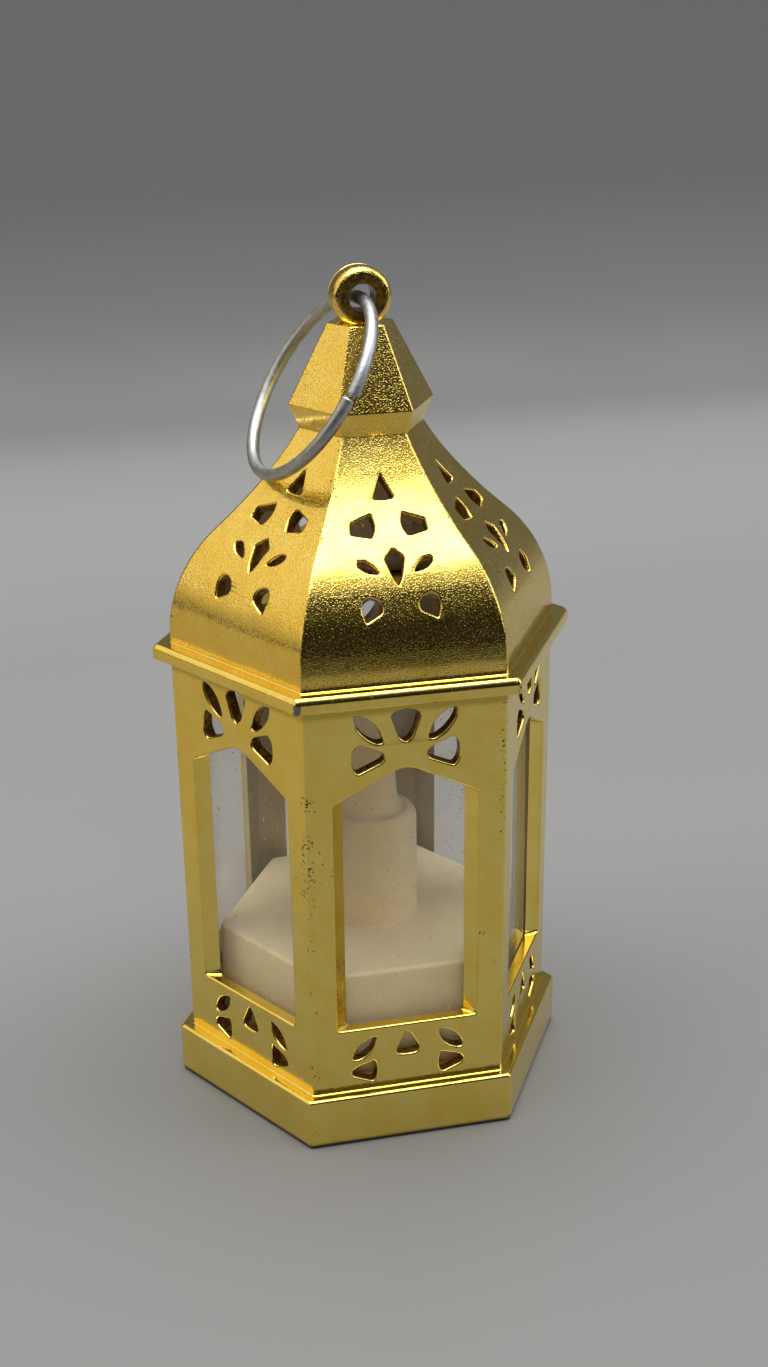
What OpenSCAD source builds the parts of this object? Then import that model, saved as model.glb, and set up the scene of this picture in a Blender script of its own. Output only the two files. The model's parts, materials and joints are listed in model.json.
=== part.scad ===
// Hexagonal lantern with a pierced ogee roof, arched windows, an LED candle and a hanging ring.
// The origin is the centre of the resting rim, +Z is up and one flat side faces -Y.
// A hexagon's radius runs from its centre to a corner, and two corners lie on the X axis.

/* [Plinth] */
// Radius of the plinth
plinth_r = 30; // [26:0.5:36]
// Height of the plinth's side
plinth_h = 7.9; // [6:0.1:12]
// Thickness of the plinth's side
plinth_wall = 2; // [1.5:0.1:2.5]
// Thickness of the deck that the walls stand on
deck_t = 1.5; // [1:0.1:2]
// Rounding of the plinth's upper edge
plinth_round = 0.45; // [0.2:0.05:1]
// How far the step stands in from the plinth
step_inset = 1.25; // [0.6:0.05:2]
// Height of the step
step_h = 0.5; // [0.3:0.1:1]

/* [Walls] */
// How far the foot of the walls stands in from the step
foot_inset = 0.71; // [0.4:0.01:1.5]
// How much wider the walls are at the top than at the foot
wall_flare = 0.34; // [0:0.02:0.8]
// Thickness of the walls at the foot
wall_t = 1.7; // [1.2:0.1:2.4]
// How far the eave stands out from the walls
eave_out = 2.55; // [1.5:0.05:4]
// Height of the eave flange on the walls
flange_h = 1.4; // [1:0.1:2.5]

/* [Windows] */
// Width of the clear opening
window_w = 17.4; // [12:0.2:19]
// Height of the straight sides
window_h = 36.3; // [26:0.1:50]
// Gap from the pattern under the window to the sill
sill_gap = 1.25; // [1:0.05:4]
// Height from the straight sides to the pattern over the window
head_gap = 3.5; // [3.4:0.1:6]
// Pitch of the arch's sides
arch_pitch = 25.9; // [15:0.1:35]
// Rounding of the arch's point
arch_round = 4; // [1:0.2:6]
// How much each jamb splays out to the front
jamb_splay = 1.6; // [0.5:0.1:2]
// Thickness of the clear liner
liner_t = 0.4; // [0.3:0.05:0.8]

/* [Lattice] */
// Width of the pattern over the window
upper_lattice_w = 15.2; // [10:0.2:18]
// Height of the pattern over the window
upper_lattice_h = 8.9; // [6:0.1:9]
// Gap from the pattern over the window to the eave
upper_lattice_gap = 1.4; // [1:0.1:3]
// Width of the pattern under the window
lower_lattice_w = 16.7; // [10:0.1:18]
// Height of the pattern under the window
lower_lattice_h = 7.7; // [5:0.1:8]
// Gap from the foot of the walls to the pattern under the window
lower_lattice_gap = 0.55; // [0.4:0.05:1]
// Width of the pattern on a roof side
roof_lattice_w = 10.8; // [7:0.1:11]
// Height of the pattern on a roof side
roof_lattice_h = 16.7; // [12:0.1:18]
// Gap from the roof's rim to its pattern
roof_lattice_gap = 8.25; // [7:0.05:10]

/* [Roof] */
// Thickness of the brim
brim_t = 0.7; // [0.5:0.1:1.5]
// Rounding of the brim's edge
brim_round = 0.3; // [0.1:0.05:0.6]
// How far the rim at the roof's foot stands in from the brim
rim_inset = 1.8; // [1:0.1:3]
// Height of that rim
rim_h = 0.45; // [0.2:0.05:1]
// How far the roof's side stands in from the rim
roof_inset = 0.7; // [0.3:0.05:1.5]
// Height of the upright foot of the roof's side
roof_foot_h = 0.95; // [0.5:0.05:3]
// Radius of the shoulder curve
shoulder_r = 21.3; // [16:0.1:26]
// Lean of the straight flank from upright
flank_lean = 41; // [35:0.5:45]
// Height from the rim to the neck
roof_h = 29.5; // [27:0.1:34]
// Radius of the neck
neck_r = 9; // [7.5:0.1:11]
// Lean of the roof's side where it meets the neck
neck_lean = 8; // [4:1:15]
// Thickness of the roof's side
roof_t = 1.6; // [1:0.1:2.2]
// Thickness of the roof under the finial
crown_t = 3; // [2:0.1:4]
// Depth of the skirt inside the walls
skirt_h = 2; // [1:0.1:4]
// Thickness of the skirt
skirt_t = 1.4; // [0.8:0.1:2]

/* [Finial] */
// Radius of the finial at its widest
finial_r = 10.4; // [9:0.1:13]
// Height from the neck to the widest place
finial_under_h = 3.35; // [2:0.05:5]
// Height of the taper above it
finial_taper_h = 10.9; // [8:0.1:16]
// Radius of the finial's top
finial_top_r = 4.7; // [4.2:0.1:6]
// Radius of the spigot in the roof
spigot_r = 4; // [3:0.1:4.8]
// How far the spigot reaches past the crown
spigot_past = 0.6; // [0.2:0.1:1.5]
// Radius of the moulding core from below
core_r = 1.6; // [1:0.1:2]
// Wall left above the core
core_cap = 4; // [3:0.2:6]
// Outer radius of the eye
eye_r = 4.15; // [3.8:0.05:5]
// Thickness of the eye
eye_t = 4.6; // [3.6:0.1:5.4]
// Rounding of the eye's rim
eye_round = 0.9; // [0.4:0.05:1.4]
// Radius of the hole through the eye
eye_hole_r = 1.9; // [1.8:0.05:2.2]
// Height of the hole above the finial's top
eye_rise = 3.4; // [3:0.1:4]

/* [Ring] */
// Radius of the ring, to the middle of its wire
ring_r = 13.6; // [13:0.1:14.4]
// Diameter of the wire
wire_d = 1.8; // [1.2:0.1:1.9]
// Gap between the resting ring and the roof
ring_clear = 0.4; // [0.3:0.05:1]
// Drop of the wire from the middle of the eye's hole
ring_drop = 0.2; // [0:0.05:0.4]
// Turn of the resting ring about the upright axis
ring_yaw = 8.5; // [0:0.5:9]
// Place of the split, round the ring from its lowest point
split_turn = 265; // [200:1:330]
// Gap at the split
split_gap = 0.3; // [0.1:0.05:1]

/* [Candle] */
// Gap between the candle block and the liner, at the corners
block_gap = 2.26; // [1.5:0.05:4]
// Height of the block above the deck
block_rise = 16.6; // [14:0.1:20]
// Rounding of the block's upper edge
block_round = 0.8; // [0.3:0.1:1.5]
// Radius of the pillar
pillar_r = 7.3; // [6:0.1:9]
// Height of the pillar
pillar_h = 17; // [13:0.2:22]
// Rounding of the pillar's top
pillar_round = 2.4; // [1:0.1:3]
// Thickness of the candle's skin
candle_t = 1.4; // [1:0.1:1.8]
// Gap between the block and the deck's opening
opening_gap = 0.4; // [0.2:0.05:0.8]
// Width of the flange that the deck holds down
candle_lip = 1.4; // [1:0.1:2]
// Radius of the flame at its widest
flame_r = 4.3; // [3.6:0.1:4.5]
// Height of the flame
flame_h = 18.5; // [12:0.5:22]
// Radius of the flame's spigot
flame_spigot_r = 3.4; // [3:0.1:3.5]
// How far that spigot reaches past the candle's top wall
flame_spigot_past = 0.6; // [0.2:0.1:1.5]

/* [Bottom cover] */
// How far the cover lies above the resting rim
cover_recess = 0.9; // [0.6:0.1:1.5]
// Thickness of the cover
cover_t = 1.5; // [1.2:0.1:2]
// Gap round the cover
cover_gap = 0.2; // [0.1:0.05:0.4]
// Thickness of the battery tub's sides and top
tub_t = 1.2; // [1:0.1:1.6]
// Width of the ledge that the battery door leaves under the tub's sides
door_ledge = 0.6; // [0.4:0.1:0.8]
// Thickness of the battery door
door_t = 1.4; // [1.1:0.1:1.5]
// Gap round the battery door
door_gap = 0.15; // [0.1:0.05:0.3]
// Length of the door's tongue in the cover
tongue_l = 1.6; // [1:0.1:2.4]
// Width of that tongue
tongue_w = 6; // [4:0.2:8]
// Thickness of that tongue
tongue_t = 0.5; // [0.4:0.05:0.6]
// Radius of the door's screw lug
lug_r = 2.6; // [2.2:0.1:3]
// Distance from the tub's inside to the lug's screw
lug_reach = 2.8; // [2.7:0.1:2.9]
// Thickness of the lug
lug_t = 0.8; // [0.6:0.05:0.9]

/* [Cells and contacts] */
// Radius of a button cell
cell_r = 5.8; // [5.6:0.05:6]
// Height of a button cell
cell_h = 5.4; // [5:0.05:5.6]
// Radius of a cell's raised pole
pole_r = 4.9; // [4:0.1:5.2]
// Height of that pole
pole_h = 0.5; // [0.2:0.05:0.8]
// Gap round the cells in the tub
cell_gap = 0.2; // [0.1:0.05:0.4]
// Thickness of the contact strips
strip_t = 0.3; // [0.2:0.05:0.4]
// Width of the contact strips
strip_w = 6; // [4:0.2:8]
// Width of their solder tabs
tab_w = 2.4; // [1.6:0.1:3]
// How far the tabs stand out of the tub
tab_rise = 1.4; // [1:0.1:2]
// Depth of the leaf that presses on the cells
leaf_depth = 3; // [2:0.1:4]

/* [Switch] */
// Length of the switch
switch_l = 8.6; // [8:0.1:10]
// Width of the switch
switch_w = 3.6; // [3.4:0.1:4.4]
// Height of the switch
switch_h = 3.6; // [3:0.1:4.4]
// Travel of the slider
switch_travel = 2; // [1.4:0.1:2.4]
// Length of the slider's foot
foot_l = 3.2; // [2.8:0.1:3.4]
// Width of the slider's foot
foot_w = 2.2; // [1.8:0.1:2.2]
// Thickness of the slider's foot
foot_t = 1; // [0.8:0.1:1.2]
// Length of the slider's knob
knob_l = 2.4; // [1.8:0.1:2.6]
// Width of the slider's knob
knob_w = 1.2; // [1:0.1:1.4]
// Gap of the knob above the resting plane
knob_clear = 0.3; // [0.2:0.05:0.5]
// Gap round the slider
slider_gap = 0.3; // [0.25:0.05:0.4]
// Distance of the switch from the middle of the cover
switch_y = 11.8; // [11:0.1:13]
// Height of the switch's pins
pin_h = 1.6; // [1:0.1:2.4]
// Side of a switch pin
pin_s = 0.6; // [0.4:0.1:0.8]
// Spacing of the switch's pins
pin_pitch = 2.5; // [2:0.1:3]

/* [Light] */
// Length of the circuit board
board_l = 16; // [14:0.5:18]
// Width of the circuit board
board_w = 11; // [9:0.5:13]
// Thickness of the circuit board
board_t = 1.2; // [0.8:0.1:1.6]
// Radius of the board's pegs
peg_r = 0.8; // [0.6:0.1:1]
// Inset of the pegs from the board's edges
peg_inset = 1.8; // [1.6:0.1:2.4]
// Radius of the light
led_r = 2.5; // [2:0.1:2.5]
// Height of the light's straight part
led_h = 5; // [4:0.1:6]
// Radius of the light's flange
led_flange_r = 2.9; // [2.8:0.1:3.2]
// Thickness of the light's flange
led_flange_t = 1; // [0.6:0.1:1.2]
// Thickness of the light's leads
lead_d = 0.5; // [0.4:0.05:0.6]
// Spacing of the light's leads
lead_pitch = 2.54; // [2:0.02:3]
// Radius of the resistor
resistor_r = 0.9; // [0.7:0.1:1.2]
// Length of the resistor's body
resistor_l = 3.4; // [3:0.1:4]
// Spacing of the resistor's leads
resistor_pitch = 6; // [5:0.2:8]
// Diameter of the insulated wires
lead_wire_d = 0.9; // [0.6:0.1:1.2]
// Height of the wires' turns over their ends
wire_rise = 1.6; // [1.2:0.1:3]

/* [Screws] */
// Radius of the cover screws
screw_r = 0.8; // [0.7:0.05:0.9]
// Length of the cover screws under the head
screw_l = 4; // [3:0.1:4.3]
// Radius of their heads
head_r = 1.3; // [1.1:0.1:1.4]
// Height of their heads
head_h = 0.6; // [0.4:0.05:0.8]
// Radius of the bosses that they bite
boss_r = 1.5; // [1.4:0.1:1.8]
// Depth of the bosses' holes past the screws
hole_past = 0.3; // [0.1:0.1:0.5]
// Radius of the door screw
door_screw_r = 0.75; // [0.6:0.05:0.9]
// Length of the door screw
door_screw_l = 4.6; // [3.5:0.1:5.5]
// Radius of the door screw's head
door_head_r = 1.5; // [1.3:0.1:1.8]
// Radius of the boss that the door screw bites
door_boss_r = 1.8; // [1.5:0.1:2]
// Width of the cross in the screw heads
cross_w = 0.35; // [0.2:0.05:0.5]
// Length of that cross
cross_l = 1.6; // [1:0.1:2]
// Depth of that cross
cross_d = 0.3; // [0.2:0.05:0.4]

/* [Fits] */
// Radial gap between a screw or peg and its hole
fit_gap = 0.05; // [0.03:0.01:0.1]
// Gap between mouldings that slide into each other
slip_gap = 0.1; // [0.05:0.01:0.2]
// Radius of the pegs under the walls
wall_peg_r = 0.65; // [0.5:0.05:0.75]
// Length of those pegs
wall_peg_l = 1.2; // [0.8:0.1:1.3]
// Depth of the pegs' holes past the pegs
peg_hole_past = 0.2; // [0.1:0.05:0.3]
// Gap between the liner and the roof's skirt
liner_gap = 0.2; // [0.1:0.05:0.5]

/* [Hidden] */
$fn = 48;
curve_steps = 14;
edge_steps = 3;
overrun = 1.5;
gold = "#C79B35";
milk = "#DCCFB0";
steel = "#B9BCC0";
black = "#2A2A2C";

side_turn = 60;
half_turn = side_turn / 2;
lean_step = 0.5;
steepest_lean = 20;
flattest_lean = 80;

function flat(r) = r * cos(half_turn);
function corner(a) = a / cos(half_turn);
function arc(mid, r, from, to, steps) =
    [for (i = [0 : steps]) let (t = from + (to - from) * i / steps) mid + r * [cos(t), sin(t)]];
function mirrored(points) = [for (i = [len(points) - 1 : -1 : 0]) [-points[i][0], points[i][1]]];
function sum(values, i = 0) = i < len(values) ? values[i] + sum(values, i + 1) : 0;
function mean_height(shares) = sum([for (p = shares) p[1]]) / len(shares);

// Radii of the hexagons
step_r = plinth_r - step_inset;
wall_r = step_r - foot_inset;
wall_top_r = wall_r + wall_flare;
wall_in_r = corner(flat(wall_r) - wall_t);
eave_r = wall_top_r + eave_out;
rim_r = eave_r - rim_inset;
roof_r = rim_r - roof_inset;
plinth_in_r = corner(flat(plinth_r) - plinth_wall);
liner_r = wall_in_r - corner(slip_gap);
liner_in_r = liner_r - corner(liner_t);
block_r = liner_in_r - block_gap;
opening_r = block_r + corner(opening_gap);
cover_r = plinth_in_r - corner(cover_gap);

// Heights
cover_z = cover_recess + cover_t;
deck_z = plinth_h - deck_t;
wall_z = plinth_h + step_h;
lower_lattice_z = wall_z + lower_lattice_gap;
sill_z = lower_lattice_z + lower_lattice_h + sill_gap;
spring_z = sill_z + window_h;
arch_z = spring_z + window_w / 2 * tan(arch_pitch);
upper_lattice_z = spring_z + head_gap;
eave_z = upper_lattice_z + upper_lattice_h + upper_lattice_gap;
brim_z = eave_z + flange_h;
brim_top_z = brim_z + brim_t;
rim_z = brim_top_z + rim_h;
shoulder_z = rim_z + roof_foot_h;
neck_z = rim_z + roof_h;
crown_z = neck_z - crown_t;
finial_wide_z = neck_z + finial_under_h;
finial_top_z = finial_wide_z + finial_taper_h;
eye_z = finial_top_z + eye_rise;
block_top_z = plinth_h + block_rise;
pillar_top_z = block_top_z + pillar_h;
pillar_in_z = pillar_top_z - candle_t;

// Roof curve
flank_end_z = shoulder_z + shoulder_r * sin(flank_lean);
flank_end_a = flat(roof_r) - shoulder_r * (1 - cos(flank_lean));
neck_rise = neck_z - flank_end_z;
neck_curve_r = (flat(neck_r) - flank_end_a + tan(flank_lean) * neck_rise)
    / (tan(flank_lean) * (sin(flank_lean) - sin(neck_lean)) - (cos(neck_lean) - cos(flank_lean)));
neck_mid = [flat(neck_r), neck_z] + neck_curve_r * [cos(neck_lean), sin(neck_lean)];
function roof_tilt(z) = z < flank_end_z ? asin((z - shoulder_z) / shoulder_r) : flank_lean;
function roof_flat(z) = z < flank_end_z
    ? flat(roof_r) - shoulder_r * (1 - cos(roof_tilt(z)))
    : flank_end_a - (z - flank_end_z) * tan(flank_lean);

// Ring at rest: the steepest lean at which its wire clears the roof
ring_pivot_z = eye_z - ring_drop;
ring_axis = [-sin(ring_yaw), cos(ring_yaw), 0];
neck_start_z = neck_mid[1] - neck_curve_r * sin(flank_lean);
function roof_reach(z) = z > neck_start_z
    ? neck_mid[0] - sqrt(pow(neck_curve_r, 2) - pow(neck_mid[1] - z, 2))
    : roof_flat(max(z, shoulder_z));
function side_reach(p) = max([for (i = [0 : 5])
    p[0] * cos(half_turn + side_turn * i) + p[1] * sin(half_turn + side_turn * i)]);
function ring_down(lean) = [-sin(lean) * cos(ring_yaw), -sin(lean) * sin(ring_yaw), -cos(lean)];
function ring_point(lean, t) = [0, 0, ring_pivot_z]
    + ring_r * ((1 + cos(t)) * ring_down(lean) + sin(t) * ring_axis);
function ring_gap(lean) = min([for (t = [-side_turn : half_turn / 4 : side_turn])
    let (p = ring_point(lean, t)) (side_reach(p) - roof_reach(p[2])) * cos(flank_lean)])
    - wire_d / 2;
function rest_lean(lean) = ring_gap(lean) >= ring_clear || lean > flattest_lean
    ? lean : rest_lean(lean + lean_step);
ring_lean = rest_lean(steepest_lean);

// Battery tub
tub_in_w = 2 * (cell_r + cell_gap);
tub_in_l = 3 * cell_h + strip_t + leaf_depth + strip_t;
tub_end = tub_in_l / 2;
door_inner_z = cover_recess + door_t;
cell_z = door_inner_z + cell_gap + cell_r;
tub_roof_z = cell_z + cell_r + cell_gap;
tub_top_z = tub_roof_z + tub_t;
board_z = tub_top_z + board_t;
tab_top_z = tub_top_z + tab_rise;
peg_x = board_l / 2 - peg_inset;
peg_y = board_w / 2 - peg_inset;
lug_x = tub_end + lug_reach;
lug_screw_top = cover_recess + door_screw_l + hole_past;
door_cone_h = lug_t * 3 / 4;
tongue_z = cover_recess + (door_t - tongue_t) / 2;
strip_foot_z = door_inner_z + cell_gap;

// Screws
boss_reach = opening_r + boss_r + slip_gap;
wall_peg_reach = (wall_r + wall_in_r) / 2;
screw_seat_z = cover_recess + head_h;
counterbore_gap = 2 * fit_gap;

// Switch
channel_h = foot_t + 2 * slider_gap;
slider_x = -switch_travel / 2;
pin_top_z = cover_z + switch_h + pin_h;

// Light
led_z = pillar_in_z - flame_spigot_past;
led_top_z = led_z + led_h + led_r;

// Outlines as shares of a pattern's half width and height, right-hand shapes only
leaf_share = [[0.41, 0.49], [0.49, 0.71], [0.655, 0.875], [0.815, 0.945], [0.955, 0.955],
    [0.91, 0.775], [0.73, 0.58], [0.525, 0.475]];
wedge_share = [[0, 0.466], [0.112, 0.534], [0.276, 0.91], [0.158, 0.983], [0, 1],
    [-0.158, 0.983], [-0.276, 0.91], [-0.112, 0.534]];
petal_share = [[0.875, 0.483], [0.98, 0.393], [1, 0.27], [0.98, 0.1], [0.888, 0],
    [0.428, 0.17], [0.388, 0.258], [0.46, 0.337]];
low_leaf_share = [[0.551, 0.96], [0.766, 0.896], [0.928, 0.727], [0.988, 0.52], [0.898, 0.5],
    [0.73, 0.571], [0.6, 0.727]];
low_wedge_share = [[0, 1], [0.072, 0.909], [0.21, 0.597], [0.168, 0.52], [0, 0.5],
    [-0.168, 0.52], [-0.21, 0.597], [-0.072, 0.909]];
low_petal_share = [[0.593, 0.455], [0.934, 0.338], [1, 0.234], [0.958, 0.156], [0.623, 0.006],
    [0.563, 0.09], [0.545, 0.273]];
roof_tip_share = [[0, 1], [0.27, 0.832], [0, 0.822], [-0.27, 0.832]];
roof_pane_share = [[0.4, 0.73], [0.95, 0.677], [0.98, 0.605], [0.47, 0.575], [0.325, 0.647]];
roof_drop_share = [[0, 0.503], [0.25, 0.44], [0.115, 0.31], [0, 0.25], [-0.115, 0.31], [-0.25, 0.44]];
roof_leaf_share = [[0.45, 0.338], [0.54, 0.385], [0.77, 0.437], [0.95, 0.432], [0.95, 0.4],
    [0.76, 0.355]];
roof_kite_share = [[0.46, 0.108], [0.55, 0.165], [0.8, 0.19], [0.94, 0.165], [1, 0.107],
    [0.91, 0], [0.5, 0.066]];
flame_share = [[0.8, 0], [0.95, 0.08], [1, 0.18], [0.96, 0.3], [0.86, 0.44], [0.71, 0.58],
    [0.52, 0.72], [0.32, 0.85], [0.14, 0.95], [0, 1]];

// A hexagonal form whose flat sides follow one outline of distances and heights
module hex_form(points) {
    outline = concat(points, mirrored(points));
    intersection() {
        flat_pair(half_turn, outline);
        flat_pair(half_turn + side_turn, outline);
        flat_pair(half_turn + 2 * side_turn, outline);
    }
}

module flat_pair(turn, outline) {
    rotate([0, 0, turn])
        rotate([90, 0, 0])
            linear_extrude(height = 3 * plinth_r, center = true)
                polygon(outline);
}

module hex_prism(r, low, high) {
    translate([0, 0, low])
        cylinder(r = r, h = high - low, $fn = 6);
}

module on_each_side() {
    for (i = [0 : 5])
        rotate([0, 0, side_turn * i])
            children();
}

module at_corners(reach, start) {
    for (i = [0 : 2])
        rotate([0, 0, start + 2 * side_turn * i])
            translate([reach, 0, 0])
                children();
}

module post(r, low, high) {
    translate([0, 0, low])
        cylinder(r = r, h = high - low);
}

module block(size, low) {
    translate([-size[0] / 2, -size[1] / 2, low])
        cube(size);
}

// A cut through the front wall from an outline seen from the front
module wall_cut(points) {
    translate([0, -flat(wall_r), 0])
        rotate([90, 0, 0])
            linear_extrude(height = 2 * (wall_t + overrun), center = true)
                polygon(points);
}

module lattice_cut(shares, width, low, height) {
    points = [for (p = shares) [p[0] * width / 2, low + p[1] * height]];
    wall_cut(points);
}

module lattice_pair(shares, width, low, height) {
    lattice_cut(shares, width, low, height);
    mirror([1, 0, 0])
        lattice_cut(shares, width, low, height);
}

function arch_side_z(half) = arch_z - half * tan(arch_pitch);
function arch_outline(half) = concat(
    [[-half, sill_z], [half, sill_z], [half, arch_side_z(half)]],
    arc([0, arch_z - arch_round / cos(arch_pitch)], arch_round,
        90 - arch_pitch, 90 + arch_pitch, 2 * edge_steps),
    [[-half, arch_side_z(half)]]);

module window_cut() {
    half = window_w / 2;
    wide = half + jamb_splay;
    run = overrun + flat(wall_flare);
    splay_run = jamb_splay * run / wall_t;
    near = -flat(wall_in_r);
    far = -flat(wall_r) - run;
    wall_cut(arch_outline(half));
    intersection() {
        wall_cut(arch_outline(wide));
        translate([0, 0, sill_z - overrun])
            linear_extrude(height = arch_z - sill_z + 2 * overrun)
                polygon([[-half, near], [half, near], [wide + splay_run, far], [-wide - splay_run, far]]);
    }
}

// A cut square to the roof's front side, from shares of the roof pattern
module roof_cut(shares) {
    low = rim_z + roof_lattice_gap;
    mid = mean_height(shares);
    z = low + mid * roof_lattice_h;
    tilt = roof_tilt(z);
    points = [for (p = shares)
        [p[0] * roof_lattice_w / 2, (p[1] - mid) * roof_lattice_h / cos(tilt)]];
    translate([0, -roof_flat(z), z])
        rotate([90 - tilt, 0, 0])
            linear_extrude(height = 2 * (roof_t + overrun), center = true)
                polygon(points);
}

module roof_pair(shares) {
    roof_cut(shares);
    mirror([1, 0, 0])
        roof_cut(shares);
}

module cross_cut(low) {
    block([cross_l, cross_w, cross_d], low);
    block([cross_w, cross_l, cross_d], low);
}

module wire(points, d) {
    for (i = [0 : len(points) - 2]) {
        way = points[i + 1] - points[i];
        flat_way = norm([way[0], way[1]]);
        translate(points[i])
            rotate([0, atan2(flat_way, way[2]), atan2(way[1], way[0])])
                cylinder(d = d, h = norm(way), $fn = 24);
    }
    for (i = [1 : len(points) - 2])
        translate(points[i])
            sphere(d = d, $fn = 24);
}

// Plinth with its deck, step and screw bosses
module plinth() color(gold) {
    round_mid = [flat(plinth_r) - plinth_round, plinth_h - plinth_round];
    outline = concat(
        [[flat(plinth_r), 0]],
        arc(round_mid, plinth_round, 0, 90, edge_steps),
        [[flat(step_r), plinth_h], [flat(step_r), wall_z]]);
    difference() {
        union() {
            difference() {
                hex_form(outline);
                hex_prism(plinth_in_r, -overrun, deck_z);
            }
            at_corners(boss_reach, 0)
                post(boss_r, cover_z, plinth_h);
        }
        hex_prism(opening_r, deck_z - overrun, wall_z + overrun);
        at_corners(boss_reach, 0)
            post(screw_r + fit_gap, cover_z - overrun, screw_seat_z + screw_l + hole_past);
        at_corners(wall_peg_reach, side_turn)
            post(wall_peg_r + fit_gap, wall_z - wall_peg_l - peg_hole_past, wall_z + overrun);
    }
}

// Six walls with windows, lattice and the eave flange
module cage() color(gold) {
    outline = [
        [flat(wall_r), wall_z],
        [flat(wall_top_r), eave_z],
        [flat(eave_r), eave_z],
        [flat(eave_r), brim_z]];
    difference() {
        hex_form(outline);
        hex_prism(wall_in_r, wall_z - overrun, brim_z + overrun);
        on_each_side() {
            window_cut();
            lattice_pair(leaf_share, upper_lattice_w, upper_lattice_z, upper_lattice_h);
            lattice_cut(wedge_share, upper_lattice_w, upper_lattice_z, upper_lattice_h);
            lattice_pair(petal_share, upper_lattice_w, upper_lattice_z, upper_lattice_h);
            lattice_pair(low_leaf_share, lower_lattice_w, lower_lattice_z, lower_lattice_h);
            lattice_cut(low_wedge_share, lower_lattice_w, lower_lattice_z, lower_lattice_h);
            lattice_pair(low_petal_share, lower_lattice_w, lower_lattice_z, lower_lattice_h);
        }
    }
    at_corners(wall_peg_reach, side_turn)
        post(wall_peg_r, wall_z - wall_peg_l, wall_z + wall_t);
}

// Clear liner that stands on the deck behind the windows
module window_liner() color("#CFE0E6") {
    top = brim_z - skirt_h - liner_gap;
    difference() {
        hex_prism(liner_r, wall_z, top);
        hex_prism(liner_in_r, wall_z - overrun, top + overrun);
    }
}

// Hollow ogee roof with its brim, rim and pierced sides
module roof() color(gold) {
    brim_mid = [flat(eave_r) - brim_round, brim_top_z - brim_round];
    skirt_a = flat(wall_in_r) - slip_gap;
    outline = concat(
        [[flat(eave_r), brim_z]],
        arc(brim_mid, brim_round, 0, 90, edge_steps),
        [[flat(rim_r), brim_top_z], [flat(rim_r), rim_z], [flat(roof_r), rim_z]],
        arc([flat(roof_r) - shoulder_r, shoulder_z], shoulder_r, 0, flank_lean, curve_steps),
        arc(neck_mid, neck_curve_r, 180 + flank_lean, 180 + neck_lean, 2 * edge_steps));
    inner_r = shoulder_r - roof_t;
    inner_end_a = flat(roof_r) - shoulder_r + inner_r * cos(flank_lean);
    inner_end_z = shoulder_z + inner_r * sin(flank_lean);
    hollow = concat(
        [[flat(roof_r) - roof_t, rim_z]],
        arc([flat(roof_r) - shoulder_r, shoulder_z], inner_r, 0, flank_lean, curve_steps),
        [[inner_end_a - (crown_z - inner_end_z) * tan(flank_lean), crown_z]]);
    difference() {
        union() {
            hex_form(outline);
            hex_prism(corner(skirt_a), brim_z - skirt_h, brim_top_z);
        }
        hex_prism(corner(skirt_a - skirt_t), brim_z - skirt_h - overrun, shoulder_z);
        hex_form(hollow);
        post(spigot_r + fit_gap, crown_z - overrun, neck_z + overrun);
        on_each_side() {
            roof_cut(roof_tip_share);
            roof_pair(roof_pane_share);
            roof_cut(roof_drop_share);
            roof_pair(roof_leaf_share);
            roof_pair(roof_kite_share);
        }
    }
}

// Finial with its spigot and the eye
module finial() color(gold) {
    outline = [
        [flat(neck_r), neck_z],
        [flat(finial_r), finial_wide_z],
        [flat(finial_top_r), finial_top_z]];
    difference() {
        union() {
            hex_form(outline);
            post(spigot_r, crown_z - spigot_past, finial_wide_z);
            translate([0, 0, eye_z])
                rotate([90, 0, 0])
                    eye_disc();
        }
        translate([0, 0, eye_z])
            rotate([90, 0, 0])
                cylinder(r = eye_hole_r, h = 2 * eye_t, center = true);
        post(core_r, crown_z - spigot_past - overrun, finial_top_z - core_cap);
    }
}

module eye_disc() {
    rotate_extrude() {
        square_half(eye_r - eye_round, eye_t);
        square_half(eye_r, eye_t - 2 * eye_round);
        translate([eye_r - eye_round, eye_t / 2 - eye_round])
            circle(r = eye_round);
        translate([eye_r - eye_round, eye_round - eye_t / 2])
            circle(r = eye_round);
    }
}

module square_half(r, t) {
    translate([0, -t / 2])
        square([r, t]);
}

// Split wire ring, leaning on the roof
module hang_ring() color(steel) {
    split_angle = asin(split_gap / ring_r);
    translate([0, 0, ring_pivot_z])
        rotate([0, 0, ring_yaw])
            rotate([0, ring_lean, 0])
                translate([0, 0, -ring_r])
                    rotate([0, 90, 0])
                        rotate([0, 0, split_turn + split_angle / 2])
                            rotate_extrude(angle = 360 - split_angle, $fn = 96)
                                translate([ring_r, 0])
                                    circle(d = wire_d, $fn = 32);
}

// Milky candle: block, flange and pillar in one skin
module candle() color(milk) {
    round_mid = [flat(block_r) - block_round, block_top_z - block_round];
    outline = concat(
        [[flat(block_r), cover_z]],
        arc(round_mid, block_round, 0, 90, edge_steps));
    difference() {
        union() {
            hex_form(outline);
            difference() {
                hex_prism(block_r + corner(candle_lip), cover_z, deck_z);
                at_corners(boss_reach, 0)
                    post(boss_r + opening_gap, cover_z - overrun, deck_z + overrun);
            }
            rotate_extrude()
                pillar_half(pillar_r, pillar_top_z, pillar_round);
        }
        hex_prism(block_r - corner(candle_t), cover_z - overrun, block_top_z - candle_t);
        post(pillar_r - candle_t, block_top_z - candle_t - overrun, pillar_in_z);
        post(flame_spigot_r + fit_gap, pillar_in_z - overrun, pillar_top_z + overrun);
    }
}

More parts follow.
